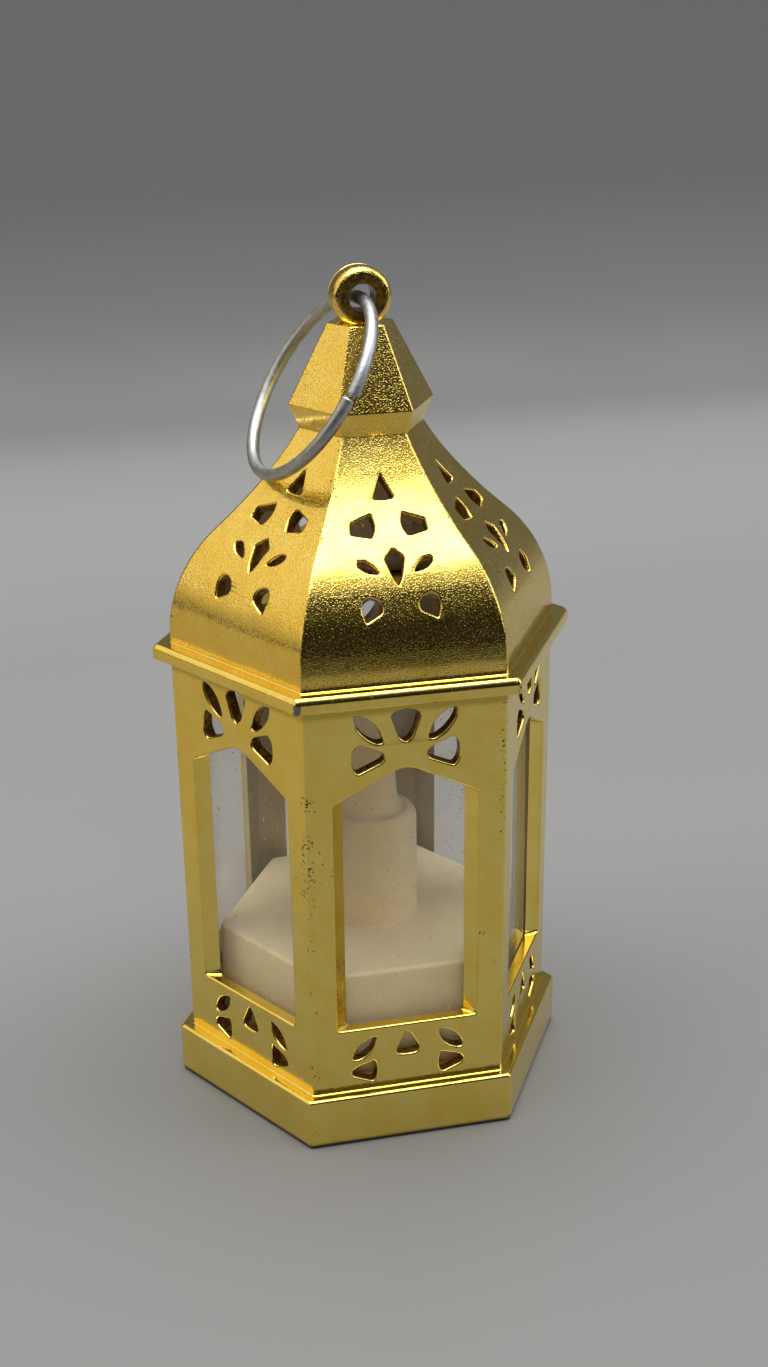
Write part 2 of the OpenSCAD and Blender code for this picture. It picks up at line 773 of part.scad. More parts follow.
module pillar_half(r, top, round) {
    polygon(concat(
        [[0, block_top_z - candle_t / 2], [r, block_top_z - candle_t / 2]],
        arc([r - round, top - round], round, 0, 90, 2 * edge_steps),
        [[0, top]]));
}

// Flame tip with the light's socket
module flame() color("#E6D9B8") {
    points = [for (p = flame_share) [p[0] * flame_r, pillar_top_z + p[1] * flame_h]];
    difference() {
        union() {
            rotate_extrude()
                polygon(concat([[0, pillar_top_z]], points));
            post(flame_spigot_r, led_z, pillar_top_z + flame_spigot_past);
        }
        post(led_r + slip_gap, led_z - overrun, led_z + led_h);
        translate([0, 0, led_z + led_h])
            sphere(r = led_r + slip_gap);
    }
}

// Bottom plate with the battery tub, the switch seat and the board's pegs
module base_cover() color(black) {
    opening = [tub_in_l + 2 * door_ledge, tub_in_w + 2 * door_ledge];
    tub = [tub_in_l + 2 * tub_t, tub_in_w + 2 * tub_t];
    difference() {
        union() {
            hex_prism(cover_r, cover_recess, cover_z);
            block([tub[0], tub[1], tub_top_z - cover_recess], cover_recess);
            translate([lug_x, 0, 0])
                post(door_boss_r, cover_recess, lug_screw_top + tub_t);
            board_pegs(peg_r, tub_roof_z, board_z + peg_r);
        }
        block([opening[0], opening[1], cover_t + overrun], cover_recess - overrun);
        block([tub_in_l, tub_in_w, tub_roof_z - cover_recess], cover_recess);
        translate([-tub_end - door_ledge, 0, 0])
            block([2 * tongue_l, tongue_w + 2 * door_gap, tongue_t + 2 * door_gap],
                tongue_z - door_gap);
        lug_shape(door_gap, cover_recess - overrun, cover_recess + lug_t);
        translate([lug_x, 0, 0])
            post(door_screw_r + fit_gap, cover_recess, lug_screw_top);
        for (side = [-1, 1])
            translate([side * (tub_end - strip_t / 2), 0, 0])
                block([strip_t + 2 * fit_gap, tab_w + 2 * fit_gap, tub_t + 2 * overrun],
                    tub_roof_z - overrun);
        translate([0, switch_y, 0])
            block([knob_l + switch_travel + 2 * slider_gap, knob_w + 2 * slider_gap,
                cover_t + 2 * overrun], cover_recess - overrun);
        at_corners(boss_reach, 0) {
            post(screw_r + fit_gap, cover_recess - overrun, cover_z + overrun);
            post(head_r + counterbore_gap, cover_recess - overrun, screw_seat_z);
        }
    }
}

module board_pegs(r, low, high) {
    for (side = [-1, 1])
        translate([side * peg_x, side * peg_y, 0])
            post(r, low, high);
}

module lug_shape(gap, low, high) {
    height = high - low;
    start = tub_end - tub_t;
    translate([lug_x, 0, 0])
        post(lug_r + gap, low, high);
    translate([start, -lug_r - gap, low])
        cube([lug_x - start, 2 * (lug_r + gap), height]);
}

// Battery door with its tongue and screw lug
module battery_door() color(black) {
    size = [tub_in_l + 2 * (door_ledge - door_gap), tub_in_w + 2 * (door_ledge - door_gap), door_t];
    difference() {
        union() {
            block(size, cover_recess);
            translate([-tub_end - door_ledge + door_gap, 0, 0])
                block([2 * tongue_l, tongue_w, tongue_t], tongue_z);
            lug_shape(0, cover_recess, cover_recess + lug_t);
        }
        translate([lug_x, 0, 0]) {
            post(door_screw_r + fit_gap, cover_recess - overrun, cover_recess + lug_t + overrun);
            translate([0, 0, cover_recess])
                cylinder(r1 = door_head_r + fit_gap, r2 = door_screw_r + fit_gap, h = door_cone_h);
        }
    }
}

module door_screw() color(steel) {
    translate([lug_x, 0, 0])
        difference() {
            union() {
                translate([0, 0, cover_recess])
                    cylinder(r1 = door_head_r, r2 = door_screw_r, h = door_cone_h);
                post(door_screw_r, cover_recess, cover_recess + door_screw_l);
            }
            cross_cut(cover_recess);
        }
}

module cover_screws() color(steel) {
    at_corners(boss_reach, 0)
        difference() {
            union() {
                post(head_r, screw_seat_z - head_h, screw_seat_z);
                post(screw_r, screw_seat_z - head_h, screw_seat_z + screw_l);
            }
            cross_cut(screw_seat_z - head_h);
        }
}

// One button cell of the row, counted from the positive contact
module cell(index) color("#C9C9C4") {
    translate([-tub_end + strip_t + index * cell_h, 0, cell_z])
        rotate([0, 90, 0]) {
            cylinder(r = cell_r, h = cell_h - pole_h);
            cylinder(r = pole_r, h = cell_h);
        }
}

module cell_1() { cell(0); }
module cell_2() { cell(1); }
module cell_3() { cell(2); }

// Flat strip at the positive end, with its tab through the tub's top
module contact_positive() color("#D6C27A") {
    translate([-tub_end + strip_t / 2, 0, 0]) {
        block([strip_t, strip_w, tub_roof_z - strip_foot_z], strip_foot_z);
        block([strip_t, tab_w, tab_top_z - strip_foot_z], strip_foot_z);
    }
}

// Sprung leaf at the negative end
module contact_negative() color("#D6C27A") {
    reach = leaf_depth - cell_gap / 2;
    rise = tub_roof_z - strip_foot_z;
    translate([tub_end - strip_t / 2, 0, 0])
        block([strip_t, tab_w, tab_top_z - strip_foot_z], strip_foot_z);
    translate([tub_end - strip_t / 2, strip_w / 2, 0])
        rotate([90, 0, 0])
            linear_extrude(height = strip_w)
                polygon([
                    [strip_t / 2, strip_foot_z],
                    [-strip_t / 2, strip_foot_z],
                    [-strip_t / 2 - reach, strip_foot_z + rise / 2],
                    [-strip_t / 2 - reach / 2, strip_foot_z + rise * 4 / 5],
                    [strip_t / 2 - reach / 2, strip_foot_z + rise * 4 / 5],
                    [strip_t / 2 - reach, strip_foot_z + rise / 2],
                    [strip_t / 2, strip_foot_z + 2 * strip_t]]);
}

module switch_body() color("#3C3C40") {
    channel = [foot_l + switch_travel + 2 * slider_gap, foot_w + 2 * slider_gap, channel_h + overrun];
    translate([0, switch_y, 0])
        difference() {
            block([switch_l, switch_w, switch_h], cover_z);
            block(channel, cover_z - overrun);
        }
}

module switch_pins() color(steel) {
    for (i = [-1 : 1])
        translate([i * pin_pitch, switch_y, 0])
            block([pin_s, pin_s, pin_h], cover_z + switch_h);
}

module switch_slider() color("#E4E2DC") {
    translate([slider_x, switch_y, 0]) {
        block([foot_l, foot_w, foot_t], cover_z + slider_gap);
        block([knob_l, knob_w, cover_z + slider_gap + foot_t - knob_clear], knob_clear);
    }
}

module led_board() color("#3E7A45") {
    difference() {
        block([board_l, board_w, board_t], tub_top_z);
        board_pegs(peg_r + fit_gap, tub_top_z - overrun, board_z + overrun);
    }
}

module led() color("#F2E6BF") {
    post(led_flange_r, led_z - led_flange_t, led_z);
    post(led_r, led_z - led_flange_t, led_z + led_h);
    translate([0, 0, led_z + led_h])
        sphere(r = led_r);
}

module led_leads() color(steel) {
    for (side = [-1, 1])
        translate([side * lead_pitch / 2, 0, 0])
            post(lead_d / 2, board_z, led_z - led_flange_t);
}

module resistor() color("#C9A56B") {
    y = -board_w / 4;
    z = board_z + resistor_r + lead_d;
    half = resistor_pitch / 2;
    translate([-resistor_l / 2, y, z])
        rotate([0, 90, 0])
            cylinder(r = resistor_r, h = resistor_l);
    wire([[-half, y, board_z], [-half, y, z], [half, y, z], [half, y, board_z]], lead_d);
}

// Red wire from the positive tab to the board
module positive_wire() color("#B3282D") {
    x = -tub_end + strip_t / 2;
    pad = -board_l / 2 + lead_wire_d;
    top = tab_top_z + wire_rise;
    wire([[x, 0, tab_top_z], [x, 0, top], [pad, 0, top], [pad, 0, board_z]], lead_wire_d);
}

// Black wire from the negative tab to the switch
module battery_wire() color(black) {
    x = tub_end - strip_t / 2;
    top = tab_top_z + wire_rise;
    low = pin_top_z + wire_rise;
    wire([[x, 0, tab_top_z], [x, 0, top], [x, switch_y, top], [x, switch_y, low],
        [pin_pitch, switch_y, low], [pin_pitch, switch_y, pin_top_z]], lead_wire_d);
}

// Black wire from the switch to the board
module switch_wire() color(black) {
    pad = board_w / 2 - 2 * lead_wire_d;
    top = tab_top_z + wire_rise;
    wire([[0, switch_y, pin_top_z], [0, switch_y, top], [0, pad, top], [0, pad, board_z]], lead_wire_d);
}

plinth();
cage();
window_liner();
roof();
finial();
hang_ring();
candle();
flame();
base_cover();
battery_door();
door_screw();
cover_screws();
cell_1();
cell_2();
cell_3();
contact_positive();
contact_negative();
switch_body();
switch_pins();
switch_slider();
led_board();
led();
led_leads();
resistor();
positive_wire();
battery_wire();
switch_wire();
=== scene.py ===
"""Builds a pierced hexagonal lantern with its candle, hanging ring and studio.

The origin is the centre of the lantern's resting rim, +Z is up and -Y is the front.
All lengths are in metres.
"""
import json
import math

import bmesh
import bpy
from bpy.props import FloatProperty, FloatVectorProperty, PointerProperty
from mathutils import Matrix, Vector
from mathutils.geometry import tessellate_polygon

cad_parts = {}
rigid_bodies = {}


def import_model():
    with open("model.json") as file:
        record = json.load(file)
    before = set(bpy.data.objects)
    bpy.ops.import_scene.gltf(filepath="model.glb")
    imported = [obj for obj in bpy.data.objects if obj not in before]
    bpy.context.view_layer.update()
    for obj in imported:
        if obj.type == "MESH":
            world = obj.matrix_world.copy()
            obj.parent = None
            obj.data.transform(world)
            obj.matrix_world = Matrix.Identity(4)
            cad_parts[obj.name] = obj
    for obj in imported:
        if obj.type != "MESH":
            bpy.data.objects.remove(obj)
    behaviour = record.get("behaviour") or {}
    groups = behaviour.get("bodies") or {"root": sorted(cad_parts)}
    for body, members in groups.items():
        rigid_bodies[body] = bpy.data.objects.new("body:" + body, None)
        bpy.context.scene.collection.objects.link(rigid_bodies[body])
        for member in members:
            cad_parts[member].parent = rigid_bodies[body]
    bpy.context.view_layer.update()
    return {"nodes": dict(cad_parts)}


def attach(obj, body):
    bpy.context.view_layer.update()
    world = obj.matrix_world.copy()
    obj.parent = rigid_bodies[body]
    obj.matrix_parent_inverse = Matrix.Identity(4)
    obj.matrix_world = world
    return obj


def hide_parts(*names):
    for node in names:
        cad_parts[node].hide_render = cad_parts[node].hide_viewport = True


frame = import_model()

bl_info = {
    "name": "Hexagonal Lantern",
    "version": (1, 0, 0),
    "blender": (4, 5, 0),
    "location": "3D View > Sidebar > Lantern",
    "description": "Builds a pierced hexagonal lantern with its candle, hanging ring and studio",
    "category": "Add Mesh",
}

SIDES = 6
BOSSES = 3
TURN = math.tau / SIDES
HALF = TURN / 2
# Limits that keep meshes clean: points to weld, slivers to leave out, and points on a border
WELD = 1e-6
SLIVER = 1e-14
ON_BORDER = 1e-5
# Bends under this angle are curves, and sharper ones are corners with a rounding and steps
SHALLOW = math.radians(50)
HOLE_CORNER = 0.0003
SOFT_STEPS = 3
# Limits of a sharp mitre, and of the share of a side that a rounding may take
MITRE_LIMIT = 0.35
CUT_SHARE = 0.49
# Steps of the round forms
ARC_STEPS = 8
CORNER_STEPS = 6
EDGE_STEPS = 4
POINT_STEPS = 10
SHOULDER_STEPS = 26
FLANK_STEPS = 24
RIM_STEPS = 7
RING_STEPS = 120
WIRE_STEPS = 28
FLAME_STEPS = 4
BEND_STEPS = 12
# Roundings of edges that hardly show, and how far a fillet's foot lies inside the side over it
SOFT_EDGE = 0.0002
FINE_EDGE = 0.0001
TUCK = 0.000004
# Shading: edges under this bend are smooth, and flat faces lead
SHARP = math.radians(38)
FLAT_WEIGHT = 100
# Slots of the mouldings' materials after the gold
INNER = 1
HOLE = 2
BRIM = 3


def length(name, description, default):
    """A length in metres."""
    return FloatProperty(name=name, description=description, default=default,
                         unit="LENGTH", subtype="DISTANCE", precision=5)


def angle(name, description, degrees):
    """An angle, given in degrees."""
    return FloatProperty(name=name, description=description, default=math.radians(degrees),
                         unit="ROTATION", subtype="ANGLE")


def colour(name, description, default):
    """A linear colour without alpha."""
    return FloatVectorProperty(name=name, description=description, default=default,
                               size=3, min=0, max=1, subtype="COLOR")


class PlinthSizes(bpy.types.PropertyGroup):
    """Sizes of the base moulding."""
    flat: length("Flat", "Half the width across the plinth's flat sides", 0.025981)
    height: length("Height", "Height of the plinth's side", 0.0079)
    wall: length("Wall", "Thickness of the plinth's side", 0.002)
    deck: length("Deck", "Thickness of the deck under the walls", 0.0015)
    fillet: length("Fillet", "Radius of the fillet against the walls' foot", 0.00026)
    step_height: length("Step height", "Height of the deck over the plinth's side", 0.0005)
    bottom: length("Bottom edge", "Rounding of the lower edge", 0.0007)
    opening_flat: length("Opening flat", "Half the width of the deck's opening", 0.020525)
    corner: length("Corner", "Rounding of the upright corners", 0.0006)
    edge: length("Edge", "Rounding of the upper edge", 0.0005)
    chamfer: length("Chamfer", "Chamfer of the deck's opening and of the inner foot", 0.0002)
    boss_reach: length("Boss reach", "Distance of the screw bosses from the middle", 0.0253)
    boss_radius: length("Boss radius", "Radius of the screw bosses", 0.0015)
    boss_foot: length("Boss foot", "Height of the bosses' lower ends", 0.0024)
    boss_bore: length("Boss bore", "Radius of the bosses' holes", 0.0008)
    boss_sunk: length("Boss sunk", "Depth of the bosses' upper ends in the deck", 0.0003)


class WallSizes(bpy.types.PropertyGroup):
    """Sizes of the six walls."""
    foot: length("Foot", "Height of the walls' foot", 0.0084)
    top: length("Top", "Height of the eave's underside", 0.068)
    foot_flat: length("Foot flat", "Half the width across the walls at the foot", 0.024283)
    top_flat: length("Top flat", "Half the width across the walls at the eave", 0.024577)
    thickness: length("Thickness", "Thickness of the walls", 0.0017)
    corner: length("Corner", "Rounding of the upright corners", 0.0005)
    edge: length("Edge", "Rounding of the edges of the pierced holes", 0.00032)
    eave_flat: length("Eave flat", "Half the width across the eave", 0.026786)
    eave_edge: length("Eave edge", "Rounding of the eave's lower edge", 0.0003)
    eave_top_edge: length("Eave top edge", "Rounding of the eave's upper edge", 0.00004)
    eave_corner: length("Eave corner", "Rounding of the eave's upright corners", 0.00035)
    eave_sunk: length("Eave sunk", "How far the eave's underside starts inside the walls", 0.0003)
    # painted shade: this places a darker band of gold just below the eave
    crease_drop: length("Crease shade drop", "Depth of the painted crease shade below the eave", 0.0009)
    flange: length("Flange", "Height of the eave flange", 0.0014)
    window_half: length("Window half", "Half the width of a window", 0.0087)
    sill: length("Sill", "Height of the window's sill", 0.0179)
    sill_corner: length("Sill corner", "Rounding of the window's lower corners", 0.0005)
    spring: length("Spring", "Height of the window's straight sides", 0.0542)
    spring_corner: length("Spring corner", "Rounding where the arch starts", 0.001)
    pitch: angle("Pitch", "Pitch of the arch's sides", 25.9)
    point: length("Point", "Rounding of the arch's point", 0.004)
    splay: length("Splay", "How far each jamb splays out", 0.0016)
    upper_width: length("Upper width", "Width of the pattern over the window", 0.0152)
    upper_low: length("Upper low", "Height of that pattern's foot", 0.0577)
    upper_height: length("Upper height", "Height of that pattern", 0.0089)
    lower_width: length("Lower width", "Width of the pattern under the window", 0.0167)
    lower_low: length("Lower low", "Height of that pattern's foot", 0.00895)
    lower_height: length("Lower height", "Height of that pattern", 0.0077)


class RoofSizes(bpy.types.PropertyGroup):
    """Sizes of the ogee roof."""
    foot: length("Foot", "Height of the brim's underside", 0.0694)
    brim_flat: length("Brim flat", "Half the width across the brim", 0.026786)
    brim: length("Brim", "Thickness of the brim", 0.00085)
    brim_round: length("Brim rounding", "Radius of the brim's rounded side", 0.0012)
    fillet: length("Fillet", "Radius of the fillet against the dome's foot", 0.0003)
    rim: length("Rim", "Height from the brim's underside to the dome's foot", 0.00115)
    worn: length("Worn line", "Height of the brim's worn line above its underside", 0.0004)
    flat: length("Flat", "Half the width across the roof's foot", 0.024621)
    upright: length("Upright", "Height of the upright foot", 0.00095)
    shoulder: length("Shoulder", "Radius of the shoulder curve", 0.0213)
    lean: angle("Lean", "Lean of the flank over the shoulder", 45.5)
    top: length("Top", "Height of the neck", 0.10005)
    neck_flat: length("Neck flat", "Half the width across the neck", 0.007794)
    neck_lean: angle("Neck lean", "Lean of the side where it meets the neck", 28.5)
    thickness: length("Thickness", "Thickness of the roof", 0.0016)
    skirt_flat: length("Skirt flat", "Half the width across the skirt inside the walls", 0.02248)
    skirt: length("Skirt", "Depth of the skirt", 0.002)
    skirt_wall: length("Skirt wall", "Thickness of the skirt", 0.0014)
    skirt_edge: length("Skirt edge", "Rounding of the skirt's lower edge", 0.0003)
    crown: length("Crown", "Height of the socket under the neck", 0.003)
    crown_bore: length("Crown bore", "Radius of the socket for the finial", 0.0041)
    crown_flat: length("Crown flat", "Half the width across the socket's underside", 0.0092)
    sunk: length("Sunk", "How far forms reach into each other where they join", 0.0001)
    corner: length("Corner", "Rounding of the hips", 0.0006)
    edge: length("Edge", "Rounding of the edges of the pierced holes", 0.00032)
    pattern_width: length("Pattern width", "Width of the pattern on a side", 0.0108)
    pattern_low: length("Pattern low", "Height of the pattern's foot", 0.0788)
    pattern_height: length("Pattern height", "Height of the pattern", 0.0167)


class FinialSizes(bpy.types.PropertyGroup):
    """Sizes of the finial and its eye."""
    flat: length("Flat", "Half the width across the finial's widest place", 0.009007)
    under: length("Under", "Height from the neck to the widest place", 0.00335)
    taper: length("Taper", "Height of the taper", 0.0109)
    top_flat: length("Top flat", "Half the width across the top", 0.00407)
    corner: length("Corner", "Rounding of the finial's corners", 0.00045)
    edge: length("Edge", "Rounding of the widest edge", 0.0004)
    top_edge: length("Top edge", "Rounding of the top's edge", 0.00025)
    top_core: length("Top core", "Half the width of the middle of the top", 0.0012)
    eye_radius: length("Eye radius", "Outer radius of the eye", 0.004149)
    eye_width: length("Eye width", "Thickness of the eye", 0.0046)
    eye_edge: length("Eye edge", "Rounding of the eye's rim", 0.00105)
    eye_hole: length("Eye hole", "Radius of the hole through the eye", 0.0019)
    eye_lip: length("Eye lip", "Width of the bend into the hole", 0.0003)
    eye_rise: length("Eye rise", "Height of the hole above the finial's top", 0.0034)
    spigot: length("Spigot", "Radius of the spigot in the roof", 0.004)
    seat: length("Seat", "Gap between the finial's lower edge and the neck", 0.00002)
    hollow: length("Hollow", "Rise of the underside towards the spigot", 0.0001)


class RingSizes(bpy.types.PropertyGroup):
    """Sizes and place of the hanging ring."""
    radius: length("Radius", "Radius to the middle of the wire", 0.0136)
    wire: length("Wire", "Radius of the wire", 0.0009)
    drop: length("Drop", "Drop of the wire in the eye's hole", 0.0002)
    lean: angle("Lean", "Lean of the ring from straight down", 33)
    yaw: angle("Yaw", "Turn of the ring about the upright axis", 8.5)
    split: angle("Split", "Place of the split, from the lowest point", 265)
    gap: length("Gap", "Gap at the split", 0.0005)
    offset: length("Offset", "How far the ends miss each other", 0.00034)
    chamfer: length("Chamfer", "Chamfer of the wire's ends", 0.00022)
    wobble: length("Wobble", "How far the ring departs from round", 0.00005)


class CandleSizes(bpy.types.PropertyGroup):
    """Sizes of the candle and its flame."""
    flat: length("Flat", "Half the width across the block", 0.020127)
    foot: length("Foot", "Height of the block's foot", 0.0024)
    lip: length("Lip", "Width of the flange under the deck", 0.0014)
    lip_top: length("Lip top", "Height of that flange's upper side", 0.0064)
    top: length("Top", "Height of the block's top", 0.0245)
    corner: length("Corner", "Rounding of the block's upright corners", 0.0012)
    edge: length("Edge", "Rounding of the block's upper edge", 0.0006)
    inner_edge: length("Inner edge", "Rounding inside the block's upper edge", 0.0004)
    fillet: length("Fillet", "Radius of the fillet at the pillar's foot", 0.0007)
    wall: length("Wall", "Thickness of the candle's skin", 0.0014)
    pillar: length("Pillar", "Radius of the pillar", 0.0073)
    pillar_top: length("Pillar top", "Height of the pillar's top", 0.0415)
    shoulder: length("Shoulder", "Rounding of the pillar's top", 0.0024)
    inner_shoulder: length("Inner shoulder", "Rounding inside the pillar's top", 0.001)
    bore: length("Bore", "Radius of the hole for the flame", 0.0037)
    flame: length("Flame", "Radius of the flame over its spreading foot", 0.0043)
    flame_height: length("Flame height", "Height of the flame", 0.0185)
    socket: length("Socket", "Radius of the flame's spigot", 0.0034)
    spigot: length("Spigot", "Length of the flame's spigot", 0.006)
    spigot_end: length("Spigot end", "Radius of the spigot's lower end", 0.0026)
    flame_foot: length("Flame foot", "Radius of the flame's rounded foot", 0.0054)
    seat: length("Seat", "Depth of that foot's underside in the pillar", 0.0003)
    tip: length("Tip", "Radius of the flame's flat tip", 0.0002)


class LookSettings(bpy.types.PropertyGroup):
    """Colours and surface settings."""
    gold: colour("Gold", "Colour of the metallised surfaces", (0.93, 0.73, 0.19))
    gold_deep: colour("Deep gold", "Colour of the thicker lacquer", (0.90, 0.67, 0.13))
    worn: colour("Worn", "Colour where the coating is rubbed off", (0.045, 0.03, 0.012))
    chip: colour("Chip", "Colour of the bare plastic under a chip", (0.13, 0.13, 0.125))
    # painted shade: colour of a painted contact shadow along the plinth's lower edge
    grime: colour("Foot shade", "Colour of the painted contact shadow at the lower edge", (0.05, 0.038, 0.012))
    hole: colour("Hole", "Colour of the sides of the pierced holes", (0.34, 0.19, 0.04))
    inner: colour("Inner", "Colour of the walls' inner sides", (0.60, 0.49, 0.32))
    steel: colour("Steel", "Colour of the ring's wire", (0.51, 0.52, 0.54))
    milk: colour("Milk", "Colour of the candle's plastic", (0.935, 0.80, 0.585))
    floor: colour("Floor", "Colour of the floor", (0.176, 0.1768, 0.1788))


class StudioSettings(bpy.types.PropertyGroup):
    """Places of the camera and the studio's pieces."""
    focal: FloatProperty(name="Focal length", description="Lens of the camera in millimetres", default=49.78)
    camera: FloatVectorProperty(name="Camera", description="Place of the camera", size=3,
                                subtype="TRANSLATION", unit="LENGTH", default=(-0.05606, -0.25253, 0.16202))
    azimuth: angle("Azimuth", "Turn of the camera about the upright axis", -13.105)
    elevation: angle("Elevation", "Height of the camera above the horizon", 21.326)
    roll: angle("Roll", "Roll of the camera", -0.711)
    backdrop: length("Backdrop", "Distance of the backdrop behind the lantern", 0.42)
    light: FloatProperty(name="Light", description="Strength of the soft studio light", default=1.0)


class LanternSettings(bpy.types.PropertyGroup):
    """All settings of the lantern."""
    plinth: PointerProperty(type=PlinthSizes)
    walls: PointerProperty(type=WallSizes)
    roof: PointerProperty(type=RoofSizes)
    finial: PointerProperty(type=FinialSizes)
    ring: PointerProperty(type=RingSizes)
    candle: PointerProperty(type=CandleSizes)
    look: PointerProperty(type=LookSettings)
    studio: PointerProperty(type=StudioSettings)


# The patterns' right-hand and middle shapes, as shares of half their width and of their height
UPPER_PAIRS = [
    [(0.41, 0.49), (0.49, 0.71), (0.655, 0.875), (0.815, 0.945), (0.955, 0.955),
     (0.91, 0.775), (0.73, 0.58), (0.525, 0.475)],
    [(0.875, 0.483), (0.98, 0.393), (1, 0.27), (0.98, 0.1), (0.888, 0),
     (0.428, 0.17), (0.388, 0.258), (0.46, 0.337)],
]
UPPER_MIDDLE = [[(0, 0.466), (0.112, 0.534), (0.276, 0.91), (0.158, 0.983), (0, 1),
                 (-0.158, 0.983), (-0.276, 0.91), (-0.112, 0.534)]]
LOWER_PAIRS = [
    [(0.551, 0.96), (0.766, 0.896), (0.928, 0.727), (0.988, 0.52), (0.898, 0.5),
     (0.73, 0.571), (0.6, 0.727)],
    [(0.593, 0.455), (0.934, 0.338), (1, 0.234), (0.958, 0.156), (0.623, 0.006),
     (0.563, 0.09), (0.545, 0.273)],
]
LOWER_MIDDLE = [[(0, 1), (0.072, 0.909), (0.21, 0.597), (0.168, 0.52), (0, 0.5),
                 (-0.168, 0.52), (-0.21, 0.597), (-0.072, 0.909)]]
ROOF_PAIRS = [
    [(0.4, 0.73), (0.95, 0.677), (0.98, 0.605), (0.47, 0.575), (0.325, 0.647)],
    [(0.45, 0.338), (0.54, 0.385), (0.77, 0.437), (0.95, 0.432), (0.95, 0.4), (0.76, 0.355)],
    [(0.46, 0.108), (0.55, 0.165), (0.8, 0.19), (0.94, 0.165), (1, 0.107), (0.91, 0), (0.5, 0.066)],
]
ROOF_MIDDLE = [
    [(0, 1), (0.27, 0.832), (0, 0.822), (-0.27, 0.832)],
    [(0, 0.503), (0.25, 0.44), (0.115, 0.31), (0, 0.25), (-0.115, 0.31), (-0.25, 0.44)],
]
# The flame's side, as shares of its radius and height; the first point only leads the curve in
FLAME_OUTLINE = [(1.6, -0.03), (1.28, 0.0), (1.09, 0.05), (1.01, 0.13), (0.96, 0.3), (0.86, 0.44),
                 (0.71, 0.58), (0.52, 0.72), (0.32, 0.85), (0.14, 0.95), (0, 1)]
# The candle is round up to just past its fillet, and the flame's tip stops just below its height
FILLET_MARGIN = 1.01
TIP_DROP = 0.00001
# The brim's bulging side, from and to these angles over level
BULGE_LOW = 8
BULGE_HIGH = 52
# The eye's lip bends at this share of its width, and its rim ends in these steps inward and down
LIP_SHARE = 0.3
RIM_END = [(0.0001, 0), (0.00003, 0.00012), (0, 0.00025)]
# The ring's wobble, and a power that keeps the parting of its ends close to the split
WOBBLE_WAVES = 3
WOBBLE_START = 1.0
PARTING = 7

# Wear of the gold: distances from a corner and a level edge where it starts and is full, and the same for
# the painted shade along a crease
CORNER_WEAR = (0.0018, 0.0004)
CORNER_MARKS = (0.0012, 0.0003)
EDGE_WEAR = (0.0005, 0.0001)
CREASE_SHADE = (0.0013, 0.0004)
# Rubbed marks on the walls: place, reach and strength
MARKS = [
    ((-0.0138, -0.0245, 0.0440), 0.0075, 1.25), ((-0.0138, -0.0245, 0.0540), 0.0035, 1.2),
    ((-0.0120, -0.0245, 0.0648), 0.0030, 0.95), ((0.0108, -0.0245, 0.0310), 0.0011, 1.9),
    ((0.0125, -0.0245, 0.0262), 0.0008, 1.8),
]
# Chips on the eave: corner, shift from the middle of the eave's height, and reach
EAVE_CHIPS = [
    (4, (0, 0, 0.0005), 0.00065), (4, (0.0001, 0, -0.0001), 0.0006), (5, (0, 0, 0.0004), 0.0003),
]
# The gold's features to a metre, and the heights of its bumps
SCATTER = 620
CRUMBS = 2300
PATCHES = 110
CLOUD = 210
SMEAR = 420
PEBBLE = 5000
PEBBLE_HEIGHT = 0.000016
WAVE = 420
WAVE_HEIGHT = 0.000016
SLOW_WAVE = 80
SLOW_WAVE_HEIGHT = 0.00016
CRUMB_DEPTH = 0.000008
# Finishes of the small parts: colour, metal, roughness, features to a metre and height of the grain
SMALL_FINISHES = {
    "black moulding": ((0.018, 0.018, 0.019), 0, 0.45, 2600, 0.00002),
    "door moulding": ((0.022, 0.022, 0.023), 0, 0.4, 2600, 0.00002),
    "switch knob": ((0.03, 0.03, 0.032), 0, 0.35, 1800, 0.00001),
    "plated screw": ((0.55, 0.55, 0.53), 1, 0.3, 1600, 0.00001),
    "cell jacket": ((0.62, 0.63, 0.64), 1, 0.28, 1200, 0.000008),
    "spring strip": ((0.70, 0.68, 0.62), 1, 0.32, 1300, 0.000008),
    "board lacquer": ((0.05, 0.20, 0.06), 0, 0.35, 1500, 0.00001),
    "lamp lens": ((0.86, 0.78, 0.52), 0, 0.15, 800, 0.000003),
    "resistor body": ((0.62, 0.46, 0.27), 0, 0.45, 2000, 0.00001),
    "red wire": ((0.45, 0.02, 0.015), 0, 0.4, 2000, 0.000006),
    "black wire": ((0.02, 0.02, 0.022), 0, 0.4, 2000, 0.000006),
    "switch steel": ((0.56, 0.57, 0.58), 1, 0.35, 1500, 0.00001),
}
# The small parts: finish, and rounding of the edges where they are rounded
SMALL_PARTS = {
    "base_cover": ("black moulding", 0.00025), "battery_door": ("door moulding", 0.00022),
    "door_screw": ("plated screw", 0.00008), "cover_screws": ("plated screw", 0.00008),
    "cell_1": ("cell jacket", 0.00025), "cell_2": ("cell jacket", 0.00025),
    "cell_3": ("cell jacket", 0.00025), "contact_positive": ("spring strip", 0),
    "contact_negative": ("spring strip", 0), "switch_body": ("switch steel", 0.00015),
    "switch_pins": ("spring strip", 0), "switch_slider": ("switch knob", 0.00015),
    "led_board": ("board lacquer", 0), "led": ("lamp lens", 0),
    "led_leads": ("spring strip", 0), "resistor": ("resistor body", 0.0001),
    "positive_wire": ("red wire", 0), "battery_wire": ("black wire", 0), "switch_wire": ("red wire", 0),
}

# Floor and backdrop as one sheet: reach to the front and sides, rows of points near the lantern, and the
# bend and height of the backdrop
FLOOR_REACH = 0.9
FLOOR_NEAR = 0.1
BEND = 0.08
BACKDROP_HEIGHT = 0.3
